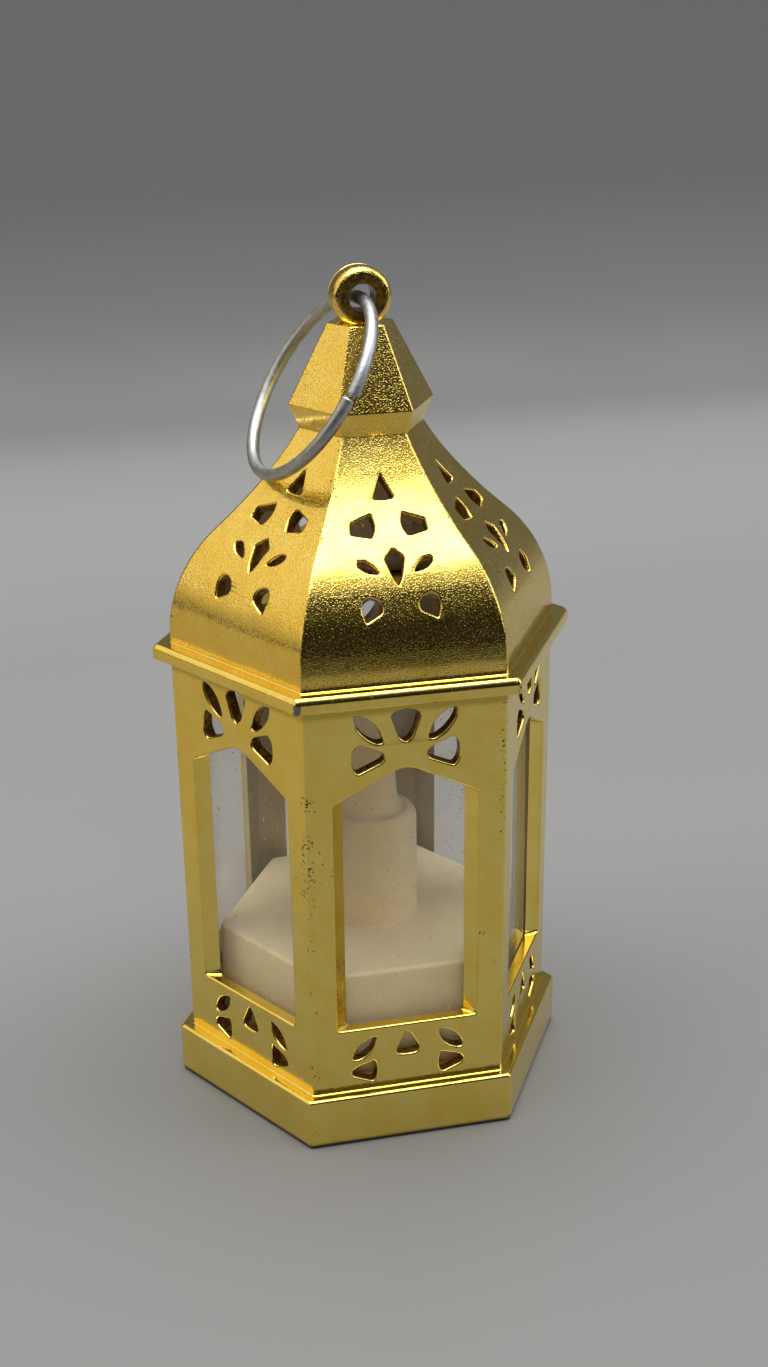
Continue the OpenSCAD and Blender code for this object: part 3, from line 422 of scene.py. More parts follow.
# Painted light and shade in its colour: axis, start and end of the change, and shares of the floor's colour
# painted light: lighter behind the lantern and up the backdrop, which is also bluer, and warmer and lighter
# to the left; painted shade far in front
FLOOR_PAINTED_LIGHT = [
    ("Y", -0.01, 0.07, (1.15, 1.15, 1.15)), ("Y", 0.18, 0.35, (1.48, 1.48, 1.47)),
    ("Z", 0.0, 0.014, (1.0, 1.0, 1.0)), ("Z", 0.02, 0.08, (1.49, 1.55, 1.67)),
    ("X", -0.065, -0.12, (1.25, 1.1, 0.8)), ("Y", -0.22, -0.31, (0.1, 0.1, 0.1)),
]
# Light from above: heights on the sky's sphere where it starts and is full, and its strength
OVERHEAD_LIGHT = [(0.80, 0.89, 4.2), (0.60, 0.83, 0.6), (0.30, 0.52, 0.03)]
# Directions of the bright cards at both sides, and the light of the dark room
LEFT_CARD = (-0.80, 0.10, 0.60)
RIGHT_CARD = (0.86, -0.20, 0.47)
ROOM_LIGHT = 0.02
# The fill light's place and what it points at
FILL_PLACE = (-0.12, -0.6, 0.2)
FILL_AIM = (0, 0, 0.035)


# Outlines
def area(points):
    """Signed area of an outline, positive when anticlockwise."""
    pairs = zip(points, points[1:] + points[:1])
    return sum(a[0] * b[1] - b[0] * a[1] for a, b in pairs) / 2


def anticlockwise(points):
    """The outline turned anticlockwise."""
    return list(points) if area(points) > 0 else list(reversed(points))


def mirrored(points):
    """The outline mirrored left to right, anticlockwise."""
    return anticlockwise([(-x, y) for x, y in points])


def neighbours(points):
    """Each point of a closed outline, with the one before it and the one after."""
    places = [Vector(point[:2]) for point in points]
    return zip(places[-1:] + places[:-1], places, places[1:] + places[:1])


def softened(points, radius):
    """The outline with rounded corners; shallow corners become smooth curves."""
    result = []
    for before, here, after in neighbours(points):
        back = before - here
        ahead = after - here
        reach = 0.5 * min(back.length, ahead.length)
        shallow = math.pi - back.angle(ahead) < SHALLOW
        cut = reach if shallow else min(reach, radius)
        start = here + back.normalized() * cut
        end = here + ahead.normalized() * cut
        for k in range(SOFT_STEPS + 1):
            t = k / SOFT_STEPS
            p = start * (1 - t) ** 2 + here * 2 * t * (1 - t) + end * t ** 2
            if not result or (Vector(result[-1]) - p).length > WELD:
                result.append((p.x, p.y))
    if (Vector(result[0]) - Vector(result[-1])).length < WELD:
        result.pop()
    return result


def grown(points, amount):
    """An anticlockwise outline pushed outwards, with its sharpest corners held back."""
    result = []
    for before, here, after in neighbours(points):
        first = (here - before).normalized()
        second = (after - here).normalized()
        out_first = Vector((first.y, -first.x))
        out_second = Vector((second.y, -second.x))
        mitre = (out_first + out_second) / max(1 + out_first.dot(out_second), MITRE_LIMIT)
        result.append(tuple(here + mitre * amount))
    return result


def filleted(corners, steps=5, closed=False):
    """A profile from corners of (out, up, radius), rounded; a corner may end with its own steps."""
    points = []
    last = len(corners) - 1
    for i, (corner, (before, here, after)) in enumerate(zip(corners, neighbours(corners))):
        radius, *own_steps = corner[2:]
        if radius <= 0 or (not closed and i in (0, last)):
            points.append(tuple(here))
            continue
        back = before - here
        ahead = after - here
        half = back.angle(ahead) / 2
        cut = min(radius / math.tan(half), CUT_SHARE * back.length, CUT_SHARE * ahead.length)
        radius = cut * math.tan(half)
        back.normalize()
        ahead.normalize()
        middle = here + (back + ahead).normalized() * radius / math.sin(half)
        start = here + back * cut - middle
        end = here + ahead * cut - middle
        sweep = start.angle_signed(end)
        count = own_steps[0] if own_steps else steps
        for k in range(count + 1):
            spoke = Matrix.Rotation(-sweep * k / count, 2) @ start
            points.append(tuple(middle + spoke))
    return points


def arc(out, up, radius, start, end, steps=ARC_STEPS):
    """Points on an arc about (out, up), angles in degrees from level."""
    turns = [math.radians(start + (end - start) * k / steps) for k in range(steps + 1)]
    return [(out + radius * math.cos(t), up + radius * math.sin(t)) for t in turns]


def fillet(wall, floor, radius):
    """A fillet from a level floor up to an upright wall."""
    return arc(wall + radius, floor + radius, radius, 270, 180)


# Meshes
def corner_points(index, flat, up, corner, steps=CORNER_STEPS):
    """One rounded corner of a level of a hexagonal form, anticlockwise; the first corner is on +X."""
    middle = index * TURN
    reach = (flat - corner) / math.cos(HALF)
    points = []
    for k in range(steps + 1):
        turn = middle - HALF + TURN * k / steps
        points.append((reach * math.cos(middle) + corner * math.cos(turn),
                       reach * math.sin(middle) + corner * math.sin(turn), up))
    return points


def skin(mesh, loops, closed=False, wrap=True, cap_first=False, cap_last=False):
    """Faces between loops of the same number of points."""
    rows = [[mesh.verts.new(p) for p in loop] for loop in loops]
    pairs = list(zip(rows, rows[1:]))
    if closed:
        pairs.append((rows[-1], rows[0]))
    for low, high in pairs:
        for j in range(len(low) if wrap else len(low) - 1):
            k = (j + 1) % len(low)
            mesh.faces.new((low[j], low[k], high[k], high[j]))
    if cap_first:
        mesh.faces.new(list(reversed(rows[0])))
    if cap_last:
        mesh.faces.new(rows[-1])


def hexagonal(mesh, profile, corner, steps=CORNER_STEPS, **ends):
    """A hexagonal form that follows a profile of (out, up); corner is one rounding or one for each point."""
    corners = corner if isinstance(corner, list) else [corner] * len(profile)
    loops = []
    for (out, up), size in zip(profile, corners):
        size = min(size, out)
        loops.append([p for i in range(SIDES) for p in corner_points(i, out, up, size, steps)])
    skin(mesh, loops, **ends)


def turned(mesh, profile, steps, **ends):
    """A round form that follows a profile of (radius, up)."""
    turns = [math.tau * k / steps for k in range(steps)]
    loops = [[(radius * math.cos(t), radius * math.sin(t), up) for t in turns] for radius, up in profile]
    skin(mesh, loops, **ends)


def fill(mesh, outlines, depth, front):
    """A flat area with holes, facing the front or the back."""
    loops = [[Vector((x, y, 0)) for x, y in outline] for outline in outlines]
    points = [p for loop in loops for p in loop]
    verts = [mesh.verts.new((p.x, p.y, depth)) for p in points]
    faces = []
    for a, b, c in tessellate_polygon(loops):
        size = area([points[i][:2] for i in (a, b, c)])
        if abs(size) < SLIVER:
            continue
        if (size > 0) != front:
            a, c = c, a
        faces.append(mesh.faces.new((verts[a], verts[b], verts[c])))
    edges = list({edge for face in faces for edge in face.edges if len(edge.link_faces) == 2})
    edges.sort(key=lambda edge: tuple(edge.verts[0].co) + tuple(edge.verts[1].co))
    bmesh.ops.beautify_fill(mesh, faces=faces, edges=edges, method="ANGLE")


def paint_faces(mesh, first, material_index):
    """Gives a material to the faces from the first one given to the last."""
    mesh.faces.ensure_lookup_table()
    for face in mesh.faces[first:]:
        face.material_index = material_index


def pierced(border, holes, depth, edge, levels, place):
    """A pierced sheet, laid out flat and then put in place.

    border is the outline; holes are pairs of outlines at the front and the back.
    place turns (across, along, depth) into a point. The back takes the inner material,
    and the sides of straight holes take the one for holes.
    """
    mesh = bmesh.new()
    border = anticlockwise(border)
    fill(mesh, [border] + [grown(near, edge) for near, far in holes], 0, True)
    for near, far in holes:
        loops = []
        for k in range(EDGE_STEPS + 1):
            t = math.pi / 2 * k / EDGE_STEPS
            outline = grown(near, edge * (1 - math.sin(t)))
            loops.append([(x, y, edge * (1 - math.cos(t))) for x, y in outline])
        skin(mesh, loops)
        side_start = len(mesh.faces)
        skin(mesh, [loops[-1], [(x, y, depth) for x, y in far]])
        if near is far:
            paint_faces(mesh, side_start, HOLE)
    back_start = len(mesh.faces)
    fill(mesh, [border] + [far for near, far in holes], depth, False)
    paint_faces(mesh, back_start, INNER)
    bmesh.ops.remove_doubles(mesh, verts=mesh.verts, dist=WELD)
    for level in levels:
        parts = mesh.verts[:] + mesh.edges[:] + mesh.faces[:]
        bmesh.ops.bisect_plane(mesh, geom=parts, dist=WELD, plane_co=(0, level, 0), plane_no=(0, 1, 0))
    for vert in mesh.verts:
        vert.co = place(*vert.co)
    return mesh


def add_part(mesh, part, copies=1):
    """The part added to the mesh, with its copies one side further round each."""
    data = bpy.data.meshes.new("part")
    part.to_mesh(data)
    part.free()
    for i in range(copies):
        data.transform(Matrix.Rotation(TURN if i else 0, 4, "Z"))
        mesh.from_mesh(data)
    bpy.data.meshes.remove(data)


def weigh_normals(piece, keep_sharp):
    """Shades the piece's rounded edges from the flat faces beside them."""
    normals = piece.modifiers.new("Weighted normals", "WEIGHTED_NORMAL")
    normals.keep_sharp = keep_sharp
    normals.weight = FLAT_WEIGHT


def finish_mesh(mesh, name, body, materials, node):
    """The mesh as a piece of the lantern that moves with a body and stands for a solid."""
    bmesh.ops.remove_doubles(mesh, verts=mesh.verts, dist=WELD)
    bmesh.ops.dissolve_degenerate(mesh, edges=mesh.edges, dist=WELD / 4)
    for face in mesh.faces:
        face.smooth = True
    for edge in mesh.edges:
        edge.smooth = len(edge.link_faces) == 2 and edge.calc_face_angle(0) < SHARP
    data = bpy.data.meshes.new(name)
    mesh.to_mesh(data)
    mesh.free()
    for material in materials:
        data.materials.append(material)
    piece = bpy.data.objects.new(name, data)
    bpy.context.scene.collection.objects.link(piece)
    weigh_normals(piece, True)
    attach(piece, body)
    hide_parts(node)


# Finishes
class Nodes:
    """Short calls for the nodes that the finishes and the room's light share."""

    def __init__(self, tree, coordinates):
        self.tree = tree
        self.place = tree.nodes.new("ShaderNodeTexCoord").outputs[coordinates]

    def put(self, value, socket):
        """A value or another node's output put into a socket; a colour has no alpha."""
        if isinstance(value, bpy.types.NodeSocket):
            self.tree.links.new(value, socket)
        elif socket.type == "RGBA":
            socket.default_value = (*value, 1)
        else:
            socket.default_value = value

    def node(self, kind, inputs, **settings):
        """A node with its inputs and settings."""
        node = self.tree.nodes.new(kind)
        for key, value in settings.items():
            setattr(node, key, value)
        for key, value in inputs.items():
            self.put(value, node.inputs[key])
        return node

    def axes(self):
        """The place's x, y and z."""
        return self.node("ShaderNodeSeparateXYZ", {"Vector": self.place}).outputs

    def math(self, operation, *values):
        """The result of a math node."""
        return self.node("ShaderNodeMath", dict(enumerate(values)), operation=operation).outputs[0]

    def plus(self, first, second):
        """The sum of two values."""
        return self.math("ADD", first, second)

    def minus(self, first, second):
        """The first value less the second."""
        return self.math("SUBTRACT", first, second)

    def times(self, first, second):
        """The product of two values."""
        return self.math("MULTIPLY", first, second)

    def larger(self, first, second):
        """The larger of two values."""
        return self.math("MAXIMUM", first, second)

    def vector(self, operation, point):
        """The place's distance from a point, or its dot product with it."""
        node = self.node("ShaderNodeVectorMath", {0: self.place, 1: point}, operation=operation)
        return node.outputs["Value"]

    def ramp(self, value, low, high, to_low=0.0, to_high=1.0, smooth=True):
        """The value mapped from one range to another."""
        inputs = {"Value": value, "From Min": low, "From Max": high, "To Min": to_low, "To Max": to_high}
        kind = "SMOOTHSTEP" if smooth else "LINEAR"
        return self.node("ShaderNodeMapRange", inputs, interpolation_type=kind).outputs["Result"]

    def mix(self, factor, first, second):
        """A mix of two colours."""
        node = self.tree.nodes.new("ShaderNodeMix")
        node.data_type = "RGBA"
        for value, socket in zip((factor, first, second), [s for s in node.inputs if s.enabled]):
            self.put(value, socket)
        return [s for s in node.outputs if s.enabled][0]

    def noise(self, scale, detail=2.0, roughness=0.5):
        """Noise with so many features to a metre."""
        return self.node("ShaderNodeTexNoise", {"Vector": self.place, "Scale": scale, "Detail": detail,
                                                "Roughness": roughness}).outputs["Fac"]

    def spread(self, low, high, scale, detail=2.0):
        """Noise spread between two values."""
        return self.ramp(self.noise(scale, detail), 0.3, 0.7, low, high)

    def bump(self, height, distance, normal=None):
        """The normal over bumps of a height, on top of another normal."""
        inputs = {"Height": height, "Distance": distance, "Strength": 1.0}
        if normal is not None:
            inputs["Normal"] = normal
        return self.node("ShaderNodeBump", inputs).outputs["Normal"]


class Finish(Nodes):
    """A material in the making."""

    def __init__(self, name):
        self.material = bpy.data.materials.new(name)
        self.material.use_nodes = True
        super().__init__(self.material.node_tree, "Object")

    def shade(self, inputs):
        """The material, with its shader's inputs by name."""
        shader = self.tree.nodes["Principled BSDF"]
        for key, value in inputs.items():
            self.put(value, shader.inputs[key])
        return self.material


def shaded(tone, *shares):
    """The colour times one share, or times a share for each channel."""
    shares = shares if len(shares) > 1 else shares * 3
    return tuple(c * share for c, share in zip(tone, shares))


def corner_distance(f):
    """The distance from the nearest upright corner, measured along the flat side."""
    x, y = f.axes()[:2]
    folded = f.math("WRAP", f.math("ARCTAN2", y, x), -HALF, HALF)
    radius = f.math("SQRT", f.plus(f.times(x, x), f.times(y, y)))
    return f.times(radius, f.math("ABSOLUTE", f.math("SINE", folded)))


def level_distance(f, height):
    """The distance above or below a height."""
    return f.math("ABSOLUTE", f.minus(f.axes()["Z"], height))


def ragged_spot(f, scatter, point, reach, raggedness, core):
    """A spot about a point, full within its core and gone at about its reach."""
    ragged = f.times(f.minus(scatter, 0.5), reach * raggedness)
    return f.ramp(f.plus(f.vector("DISTANCE", point), ragged), reach, reach * core)


def wear(f, scatter, levels, marks, rubbed):
    """Where crumbs of the gold are gone: at corners, level edges and rubbed marks, and in stray specks."""
    patches = f.noise(PATCHES, 2, 0.5)
    corner = corner_distance(f)
    worn = f.times(f.ramp(corner, *CORNER_WEAR), f.ramp(patches, 0.42, 0.54))
    for height in levels:
        near_edge = f.ramp(level_distance(f, height), *EDGE_WEAR)
        worn = f.larger(worn, f.times(near_edge, f.ramp(scatter, 0.52, 0.62)))
    worn = f.larger(worn, f.times(f.ramp(patches, 0.5, 0.66), 0.55))
    # marks are denser along a corner
    at_corner = f.ramp(corner, *CORNER_MARKS, 0.66, 1.25)
    for point, reach, strength in marks:
        mark = ragged_spot(f, scatter, point, reach, 3, 0.3)
        worn = f.larger(worn, f.times(mark, f.times(at_corner, strength)))
    # the more an area is worn, the more of its crumbs are gone
    limit = f.ramp(f.times(worn, rubbed), 0, 1.2, 0.8, 0.57, smooth=False)
    return f.ramp(f.minus(f.noise(CRUMBS, 3, 0.7), limit), 0, 0.02)


def gold_tone(f, look, warmth, grime, crease):
    """The gold's cloudy colour, with a painted contact shadow at its lower edge and painted shade along a
    crease.
    """
    warmer = (1, warmth, warmth * warmth)
    cloud = f.ramp(f.noise(CLOUD, 4, 0.6), 0.35, 0.7)
    tone = f.mix(cloud, shaded(look.gold, *warmer), shaded(look.gold_deep, *warmer))
    # painted contact shadow: the gold turns dark towards its lowest edge
    if grime:
        tone = f.mix(f.ramp(f.axes()["Z"], grime, grime * 0.4), tone, look.grime)
    # painted shade: a darker band of gold along the crease under the eave
    if crease:
        dull = f.ramp(level_distance(f, crease), *CREASE_SHADE)
        tone = f.mix(dull, tone, shaded(look.gold_deep, 0.7))
    return tone


def gold_finish(name, look, grain, rough, levels=(), chips=(), marks=(), rubbed=1.0, warmth=1.0,
                grime=0.0, crease=0.0):
    """Gold metallised plastic with a pebbled grain, worn along corners, edges and at chips."""
    f = Finish(name)
    scatter = f.noise(SCATTER, 4, 0.62)
    torn = 0.0
    for point, reach in chips:
        torn = f.larger(torn, ragged_spot(f, scatter, point, reach, 2.4, 0.8))
    gone = f.larger(wear(f, scatter, levels, marks, rubbed), torn)
    bare = f.mix(torn, look.worn, look.chip)
    gloss = f.ramp(f.noise(SMEAR, 3, 0.6), 0.3, 0.75, rough * 0.85, rough * 1.3, smooth=False)
    # pebbled grain over slow waves
    pebble = f.ramp(f.noise(PEBBLE, 1.5, 0.5), 0.48, 0.74)
    normal = f.bump(f.noise(SLOW_WAVE, 2, 0.5), SLOW_WAVE_HEIGHT)
    normal = f.bump(f.noise(WAVE, 3, 0.55), WAVE_HEIGHT, normal)
    normal = f.bump(pebble, PEBBLE_HEIGHT * grain, normal)
    return f.shade({
        "Base Color": f.mix(gone, gold_tone(f, look, warmth, grime, crease), bare),
        "Metallic": f.minus(f.ramp(gone, 0, 1, 1, 0.75, smooth=False), f.times(torn, 0.45)),
        "Roughness": f.plus(gloss, f.times(gone, 0.35)),
        "Normal": f.bump(gone, -CRUMB_DEPTH, normal),
    })


def inner_finish(name, look):
    """The dull inner sides of the mouldings, where little gold landed."""
    f = Finish(name)
    return f.shade({
        "Base Color": f.mix(f.noise(260, 3, 0.6), look.inner, shaded(look.inner, 0.7)),
        "Metallic": 0.55,
        "Roughness": f.spread(0.42, 0.6, 900),
        "Normal": f.bump(f.noise(2600), 0.00003),
    })


def hole_finish(name, look):
    """The rough, brownish sides of the pierced holes."""
    f = Finish(name)
    patches = f.ramp(f.noise(1500, 3, 0.6), 0.35, 0.65)
    return f.shade({
        "Base Color": f.mix(patches, look.hole, shaded(look.hole, 0.35)),
        "Metallic": 0.85,
        "Roughness": f.spread(0.22, 0.4, 900),
        "Normal": f.bump(f.noise(2800), 0.00005),
    })


def wire_finish(look):
    """Satin plated wire with small dents and a fine grain."""
    f = Finish("plated wire")
    cloud = f.ramp(f.noise(700, 4, 0.65), 0.35, 0.75)
    dents = f.bump(f.noise(900, 3, 0.6), 0.00004)
    return f.shade({
        "Base Color": f.mix(cloud, look.steel, shaded(look.steel, 0.72)),
        "Metallic": 1,
        "Roughness": f.spread(0.38, 0.5, 1500, 3),
        "Normal": f.bump(f.noise(4500), 0.000012, dents),
    })


def milk_finish(name, tone):
    """Milky moulded plastic that light seeps into."""
    f = Finish(name)
    swells = f.bump(f.noise(220, 3), 0.00006)
    return f.shade({
        "Base Color": f.mix(f.noise(120, 3, 0.6), tone, shaded(tone, 1, 0.97, 0.9)),
        "Subsurface Weight": 0.6,
        "Subsurface Radius": (1.0, 0.8, 0.55),
        "Subsurface Scale": 0.0025,
        "IOR": 1.5,
        "Roughness": f.spread(0.36, 0.5, 500, 3),
        "Normal": f.bump(f.noise(3000), 0.00001, swells),
    })


def clear_finish():
    """Thin clear sheet with faint dust and specks."""
    f = Finish("clear sheet")
    dust = f.ramp(f.noise(1900), 0.70, 0.74)
    haze = f.ramp(f.noise(150, 4, 0.6), 0.4, 0.8, 0.03, 0.08)
    clear = f.node("ShaderNodeBsdfTransparent", {"Color": (0.985, 0.98, 0.965)}).outputs[0]
    gloss = f.node("ShaderNodeBsdfGlossy", {"Color": (1, 1, 1), "Roughness": 0.04}).outputs[0]
    film = f.node("ShaderNodeBsdfDiffuse", {"Color": (0.5, 0.47, 0.4)}).outputs[0]
    facing = f.node("ShaderNodeLayerWeight", {"Blend": 0.5}).outputs["Facing"]
    shine = f.math("MULTIPLY_ADD", f.math("POWER", facing, 5.0), 0.9, 0.03)
    sheet = f.node("ShaderNodeMixShader", {0: shine, 1: clear, 2: gloss}).outputs[0]
    mixed = f.node("ShaderNodeMixShader", {0: f.larger(haze, dust), 1: sheet, 2: film}).outputs[0]
    f.tree.nodes.remove(f.tree.nodes["Principled BSDF"])
    f.put(mixed, f.tree.nodes["Material Output"].inputs["Surface"])
    return f.material


def plain_finish(name, tone, metallic, rough, grain, depth):
    """A surface with slight variation in colour, gloss and height."""
    f = Finish(name)
    return f.shade({
        "Base Color": f.mix(f.noise(grain / 4, 3, 0.6), tone, shaded(tone, 0.85)),
        "Metallic": metallic,
        "Roughness": f.spread(rough * 0.85, rough * 1.15, grain),
        "Normal": f.bump(f.noise(grain * 3), depth),
    })


def dress(node, material):
    """A solid's own object with a new material."""
    piece = frame["nodes"][node]
    for child in [piece] + list(piece.children_recursive):
        if child.type != "MESH":
            continue
        if not child.material_slots:
            child.data.materials.append(material)
        for material_slot in child.material_slots:
            material_slot.material = material


def soften_edges(piece, width):
    """Rounds the sharp edges of a solid with modifiers."""
    piece.modifiers.new("Weld", "WELD").merge_threshold = WELD
    bevel = piece.modifiers.new("Rounded edges", "BEVEL")
    bevel.width = width
    bevel.segments = 3
    bevel.limit_method = "ANGLE"
    bevel.angle_limit = math.radians(40)
    bevel.use_clamp_overlap = True
    weigh_normals(piece, False)


# Forms that several operators share
class SideForm:
    """One of six sides that follow a profile of (out, up, tilt), laid out flat and put back in place."""

    def __init__(self, points, thickness, corner):
        self.points = points
        self.thickness = thickness
        self.corner = corner
        self.runs = [0.0]
        for a, b in zip(points, points[1:]):
            self.runs.append(self.runs[-1] + math.hypot(b[0] - a[0], b[1] - a[1]))

    def at(self, run):
        """The profile's out, up and tilt at a distance along it."""
        last = len(self.runs) - 2
        for i in range(last + 1):
            if run <= self.runs[i + 1] or i == last:
                break
        share = (run - self.runs[i]) / (self.runs[i + 1] - self.runs[i])
        share = min(max(share, 0), 1)
        return [p + (q - p) * share for p, q in zip(self.points[i], self.points[i + 1])]

    def run_at(self, up):
        """The distance along the profile at a height."""
        for i, (a, b) in enumerate(zip(self.points, self.points[1:])):
            if up <= b[1]:
                return self.runs[i] + (self.runs[i + 1] - self.runs[i]) * (up - a[1]) / (b[1] - a[1])
        return self.runs[-1]

    def half(self, out):
        """Half the width of a side's flat part."""
        return (out - self.corner) * math.tan(HALF)

    def border(self):
        """The outline of a side's flat part."""
        right = [(self.half(p[0]), run) for p, run in zip(self.points, self.runs)]
        return right + [(-x, y) for x, y in reversed(right)]

    def place(self, across, run, depth):
        """A point on the front side; across runs to the right."""
        out, up, tilt = self.at(run)
        inner = out - depth * math.cos(tilt)
        if abs(abs(across) - self.half(out)) < ON_BORDER and depth > self.thickness / 2:
            across = math.copysign(inner * math.tan(HALF), across)
        return Vector((across, -inner, up - depth * math.sin(tilt)))

    def laid_out(self, outline):
        """An outline of (across, height) as one of (across, distance along the profile)."""
        return [(x, self.run_at(z)) for x, z in outline]

    def pattern(self, pairs, middles, width, low, height):
        """The holes of a pattern, from shares of half its width and of its height."""
        outlines = []
        for shares in pairs + middles:
            points = anticlockwise([(x * width / 2, low + y * height) for x, y in shares])
            outlines.append(points)
            if shares in pairs:
                outlines.append(mirrored(points))
        outlines = [softened(self.laid_out(points), HOLE_CORNER) for points in outlines]
        return [(outline, outline) for outline in outlines]

    def build(self, holes, edge):
        """All six pierced sides and their rounded corners."""
        side = pierced(self.border(), holes, self.thickness, edge, self.runs[1:-1], self.place)
        mesh = bmesh.new()
        add_part(mesh, side, SIDES)
        for i in range(SIDES):
            rows = [corner_points(i, out, up, self.corner) for out, up, tilt in self.points]
            skin(mesh, rows, wrap=False)
        return mesh


def wall_form(walls):
    """The form of the six walls, which flare a little upwards."""
    tilt = -math.atan((walls.top_flat - walls.foot_flat) / (walls.top - walls.foot))
    points = [(walls.foot_flat, walls.foot, tilt), (walls.top_flat, walls.top, tilt)]
    return SideForm(points, walls.thickness, walls.corner)


def window_outline(walls, splay):
    """The outline of a window, wider by the splay on each side, with a rounded point."""
    half = walls.window_half + splay
    peak = walls.spring + walls.window_half * math.tan(walls.pitch)
    side = peak - half * math.tan(walls.pitch)
    return filleted([
        (-half, walls.sill, walls.sill_corner), (half, walls.sill, walls.sill_corner),
        (half, side, walls.spring_corner), (0, peak, walls.point, POINT_STEPS),
        (-half, side, walls.spring_corner)], steps=4, closed=True)


def dome_profile(roof):
    """The dome's profile of (out, up, tilt): upright foot, round shoulder and hollow flank."""
    foot = roof.foot + roof.rim
    low = foot + roof.upright
    centre = roof.flat - roof.shoulder
    rows = [(roof.flat, foot - roof.sunk, 0.0), (roof.flat, low, 0.0)]
    for k in range(1, SHOULDER_STEPS + 1):
        turn = roof.lean * k / SHOULDER_STEPS
        rows.append((centre + roof.shoulder * math.cos(turn), low + roof.shoulder * math.sin(turn), turn))
    # the flank bends from the shoulder's lean to the neck's
    start_out, start_up = rows[-1][:2]
    steep = math.tan(roof.lean)
    gentle = math.tan(roof.neck_lean)
    rise = (start_out - roof.neck_flat - gentle * (roof.top - start_up)) / (steep - gentle)
    bend_out = start_out - steep * rise
    bend_up = start_up + rise
    for k in range(1, FLANK_STEPS + 1):
        t = k / FLANK_STEPS
        out = (1 - t) ** 2 * start_out + 2 * t * (1 - t) * bend_out + t * t * roof.neck_flat
        up = (1 - t) ** 2 * start_up + 2 * t * (1 - t) * bend_up + t * t * roof.top
        inward = (1 - t) * (start_out - bend_out) + t * (bend_out - roof.neck_flat)
        upward = (1 - t) * (bend_up - start_up) + t * (roof.top - bend_up)
        rows.append((out, up, math.atan2(inward, upward)))
    return rows


def brim_profile(roof):
    """The profile of the brim with its bulging side, the fillet up to the dome, and the skirt under it."""
    top = roof.foot + roof.brim
    low = math.radians(BULGE_LOW)
    high = math.radians(BULGE_HIGH)
    centre_out = roof.brim_flat - roof.brim_round * math.cos(low)
    centre_up = roof.foot - roof.brim_round * math.sin(low)
    bulge = arc(centre_out, centre_up, roof.brim_round, BULGE_LOW, BULGE_HIGH, steps=9)
    last_out, last_up = bulge[-1]
    tight = (top - last_up) / (1 - math.sin(high))
    crest = arc(last_out - tight * math.cos(high), top - tight, tight, BULGE_HIGH, 90, steps=5)[1:]
    dome_foot = fillet(roof.flat - TUCK, top, roof.fillet)
    hidden = roof.flat - roof.thickness / 2
    inside = roof.skirt_flat - roof.skirt_wall
    foot = roof.foot - roof.skirt
    skirt = filleted([
        (hidden, top, 0), (inside, top, SOFT_EDGE), (inside, foot, roof.skirt_edge),
        (roof.skirt_flat, foot, roof.skirt_edge), (roof.skirt_flat, roof.foot, FINE_EDGE),
        (roof.brim_flat, roof.foot, 0)])[1:-1]
    return bulge + crest + dome_foot + [(hidden, dome_foot[-1][1]), (hidden, top)] + skirt


def flame_profile(candle):
    """The flame's side as one smooth curve through its outline's points."""
    points = []
    for i in range(1, len(FLAME_OUTLINE) - 1):
        before, here, after = (Vector(p) for p in FLAME_OUTLINE[i - 1:i + 2])
        beyond = Vector(FLAME_OUTLINE[i + 2]) if i + 2 < len(FLAME_OUTLINE) else Vector((-after.x, after.y))
        for k in range(FLAME_STEPS):
            t = k / FLAME_STEPS
            bend = 2 * before - 5 * here + 4 * after - beyond
            turn = 3 * here - before - 3 * after + beyond
            p = 0.5 * ((2 * here) + (after - before) * t + bend * t * t + turn * t ** 3)
            points.append((max(p.x, 0) * candle.flame, candle.pillar_top + p.y * candle.flame_height))
    return points


# Operators
class LANTERN_OT_plinth(bpy.types.Operator):
    """Builds the base moulding with its deck and screw bosses"""
    bl_idname = "lantern.plinth"
    bl_label = "Plinth"

    def execute(self, context):
        look = context.scene.lantern.look
        p = context.scene.lantern.plinth
        deck_low = p.height - p.deck
        inside = p.flat - p.wall
        top = p.height + p.step_height
        wall = context.scene.lantern.walls.foot_flat - TUCK
        profile = arc(p.flat - p.bottom, p.bottom, p.bottom, -90, 0)
        profile += arc(p.flat - p.edge, p.height - p.edge, p.edge, 0, 90)
        profile += fillet(wall, p.height, p.fillet)
        profile += [
            (wall, top), (p.opening_flat + p.chamfer, top), (p.opening_flat, top - p.chamfer),
            (p.opening_flat, deck_low + p.chamfer), (p.opening_flat + p.chamfer, deck_low),
            (inside, deck_low), (inside, p.chamfer), (inside + p.chamfer, 0)]
        mesh = bmesh.new()
        hexagonal(mesh, profile, p.corner, closed=True)
        boss_profile = filleted([
            (p.boss_bore, p.boss_foot, 0), (p.boss_radius, p.boss_foot, FINE_EDGE),
            (p.boss_radius, p.height - p.boss_sunk, 0)])
        for i in range(BOSSES):
            boss = bmesh.new()
            turned(boss, boss_profile, steps=32)
            turn = i * math.tau / BOSSES
            shift = Matrix.Translation((p.boss_reach * math.cos(turn), p.boss_reach * math.sin(turn), 0))
            bmesh.ops.transform(boss, matrix=shift, verts=boss.verts)
            add_part(mesh, boss)
        # the inside and the bosses got little gold
        sides = [k * TURN + HALF for k in range(SIDES)]
        for face in mesh.faces:
            middle = face.calc_center_median()
            out = max(middle.x * math.cos(side) + middle.y * math.sin(side) for side in sides)
            if out < inside + p.chamfer and middle.z < top - p.boss_sunk:
                face.material_index = INNER
        # the plinth's gold takes a painted contact shadow along its lower edge
        gold = gold_finish("plinth gold", look, grain=0.35, rough=0.12, levels=(p.height,), rubbed=0.9,
                           grime=0.001)
        inner = inner_finish("plinth inner side", look)
        finish_mesh(mesh, "plinth_moulding", "lantern", [gold, inner], "plinth")
        return {"FINISHED"}


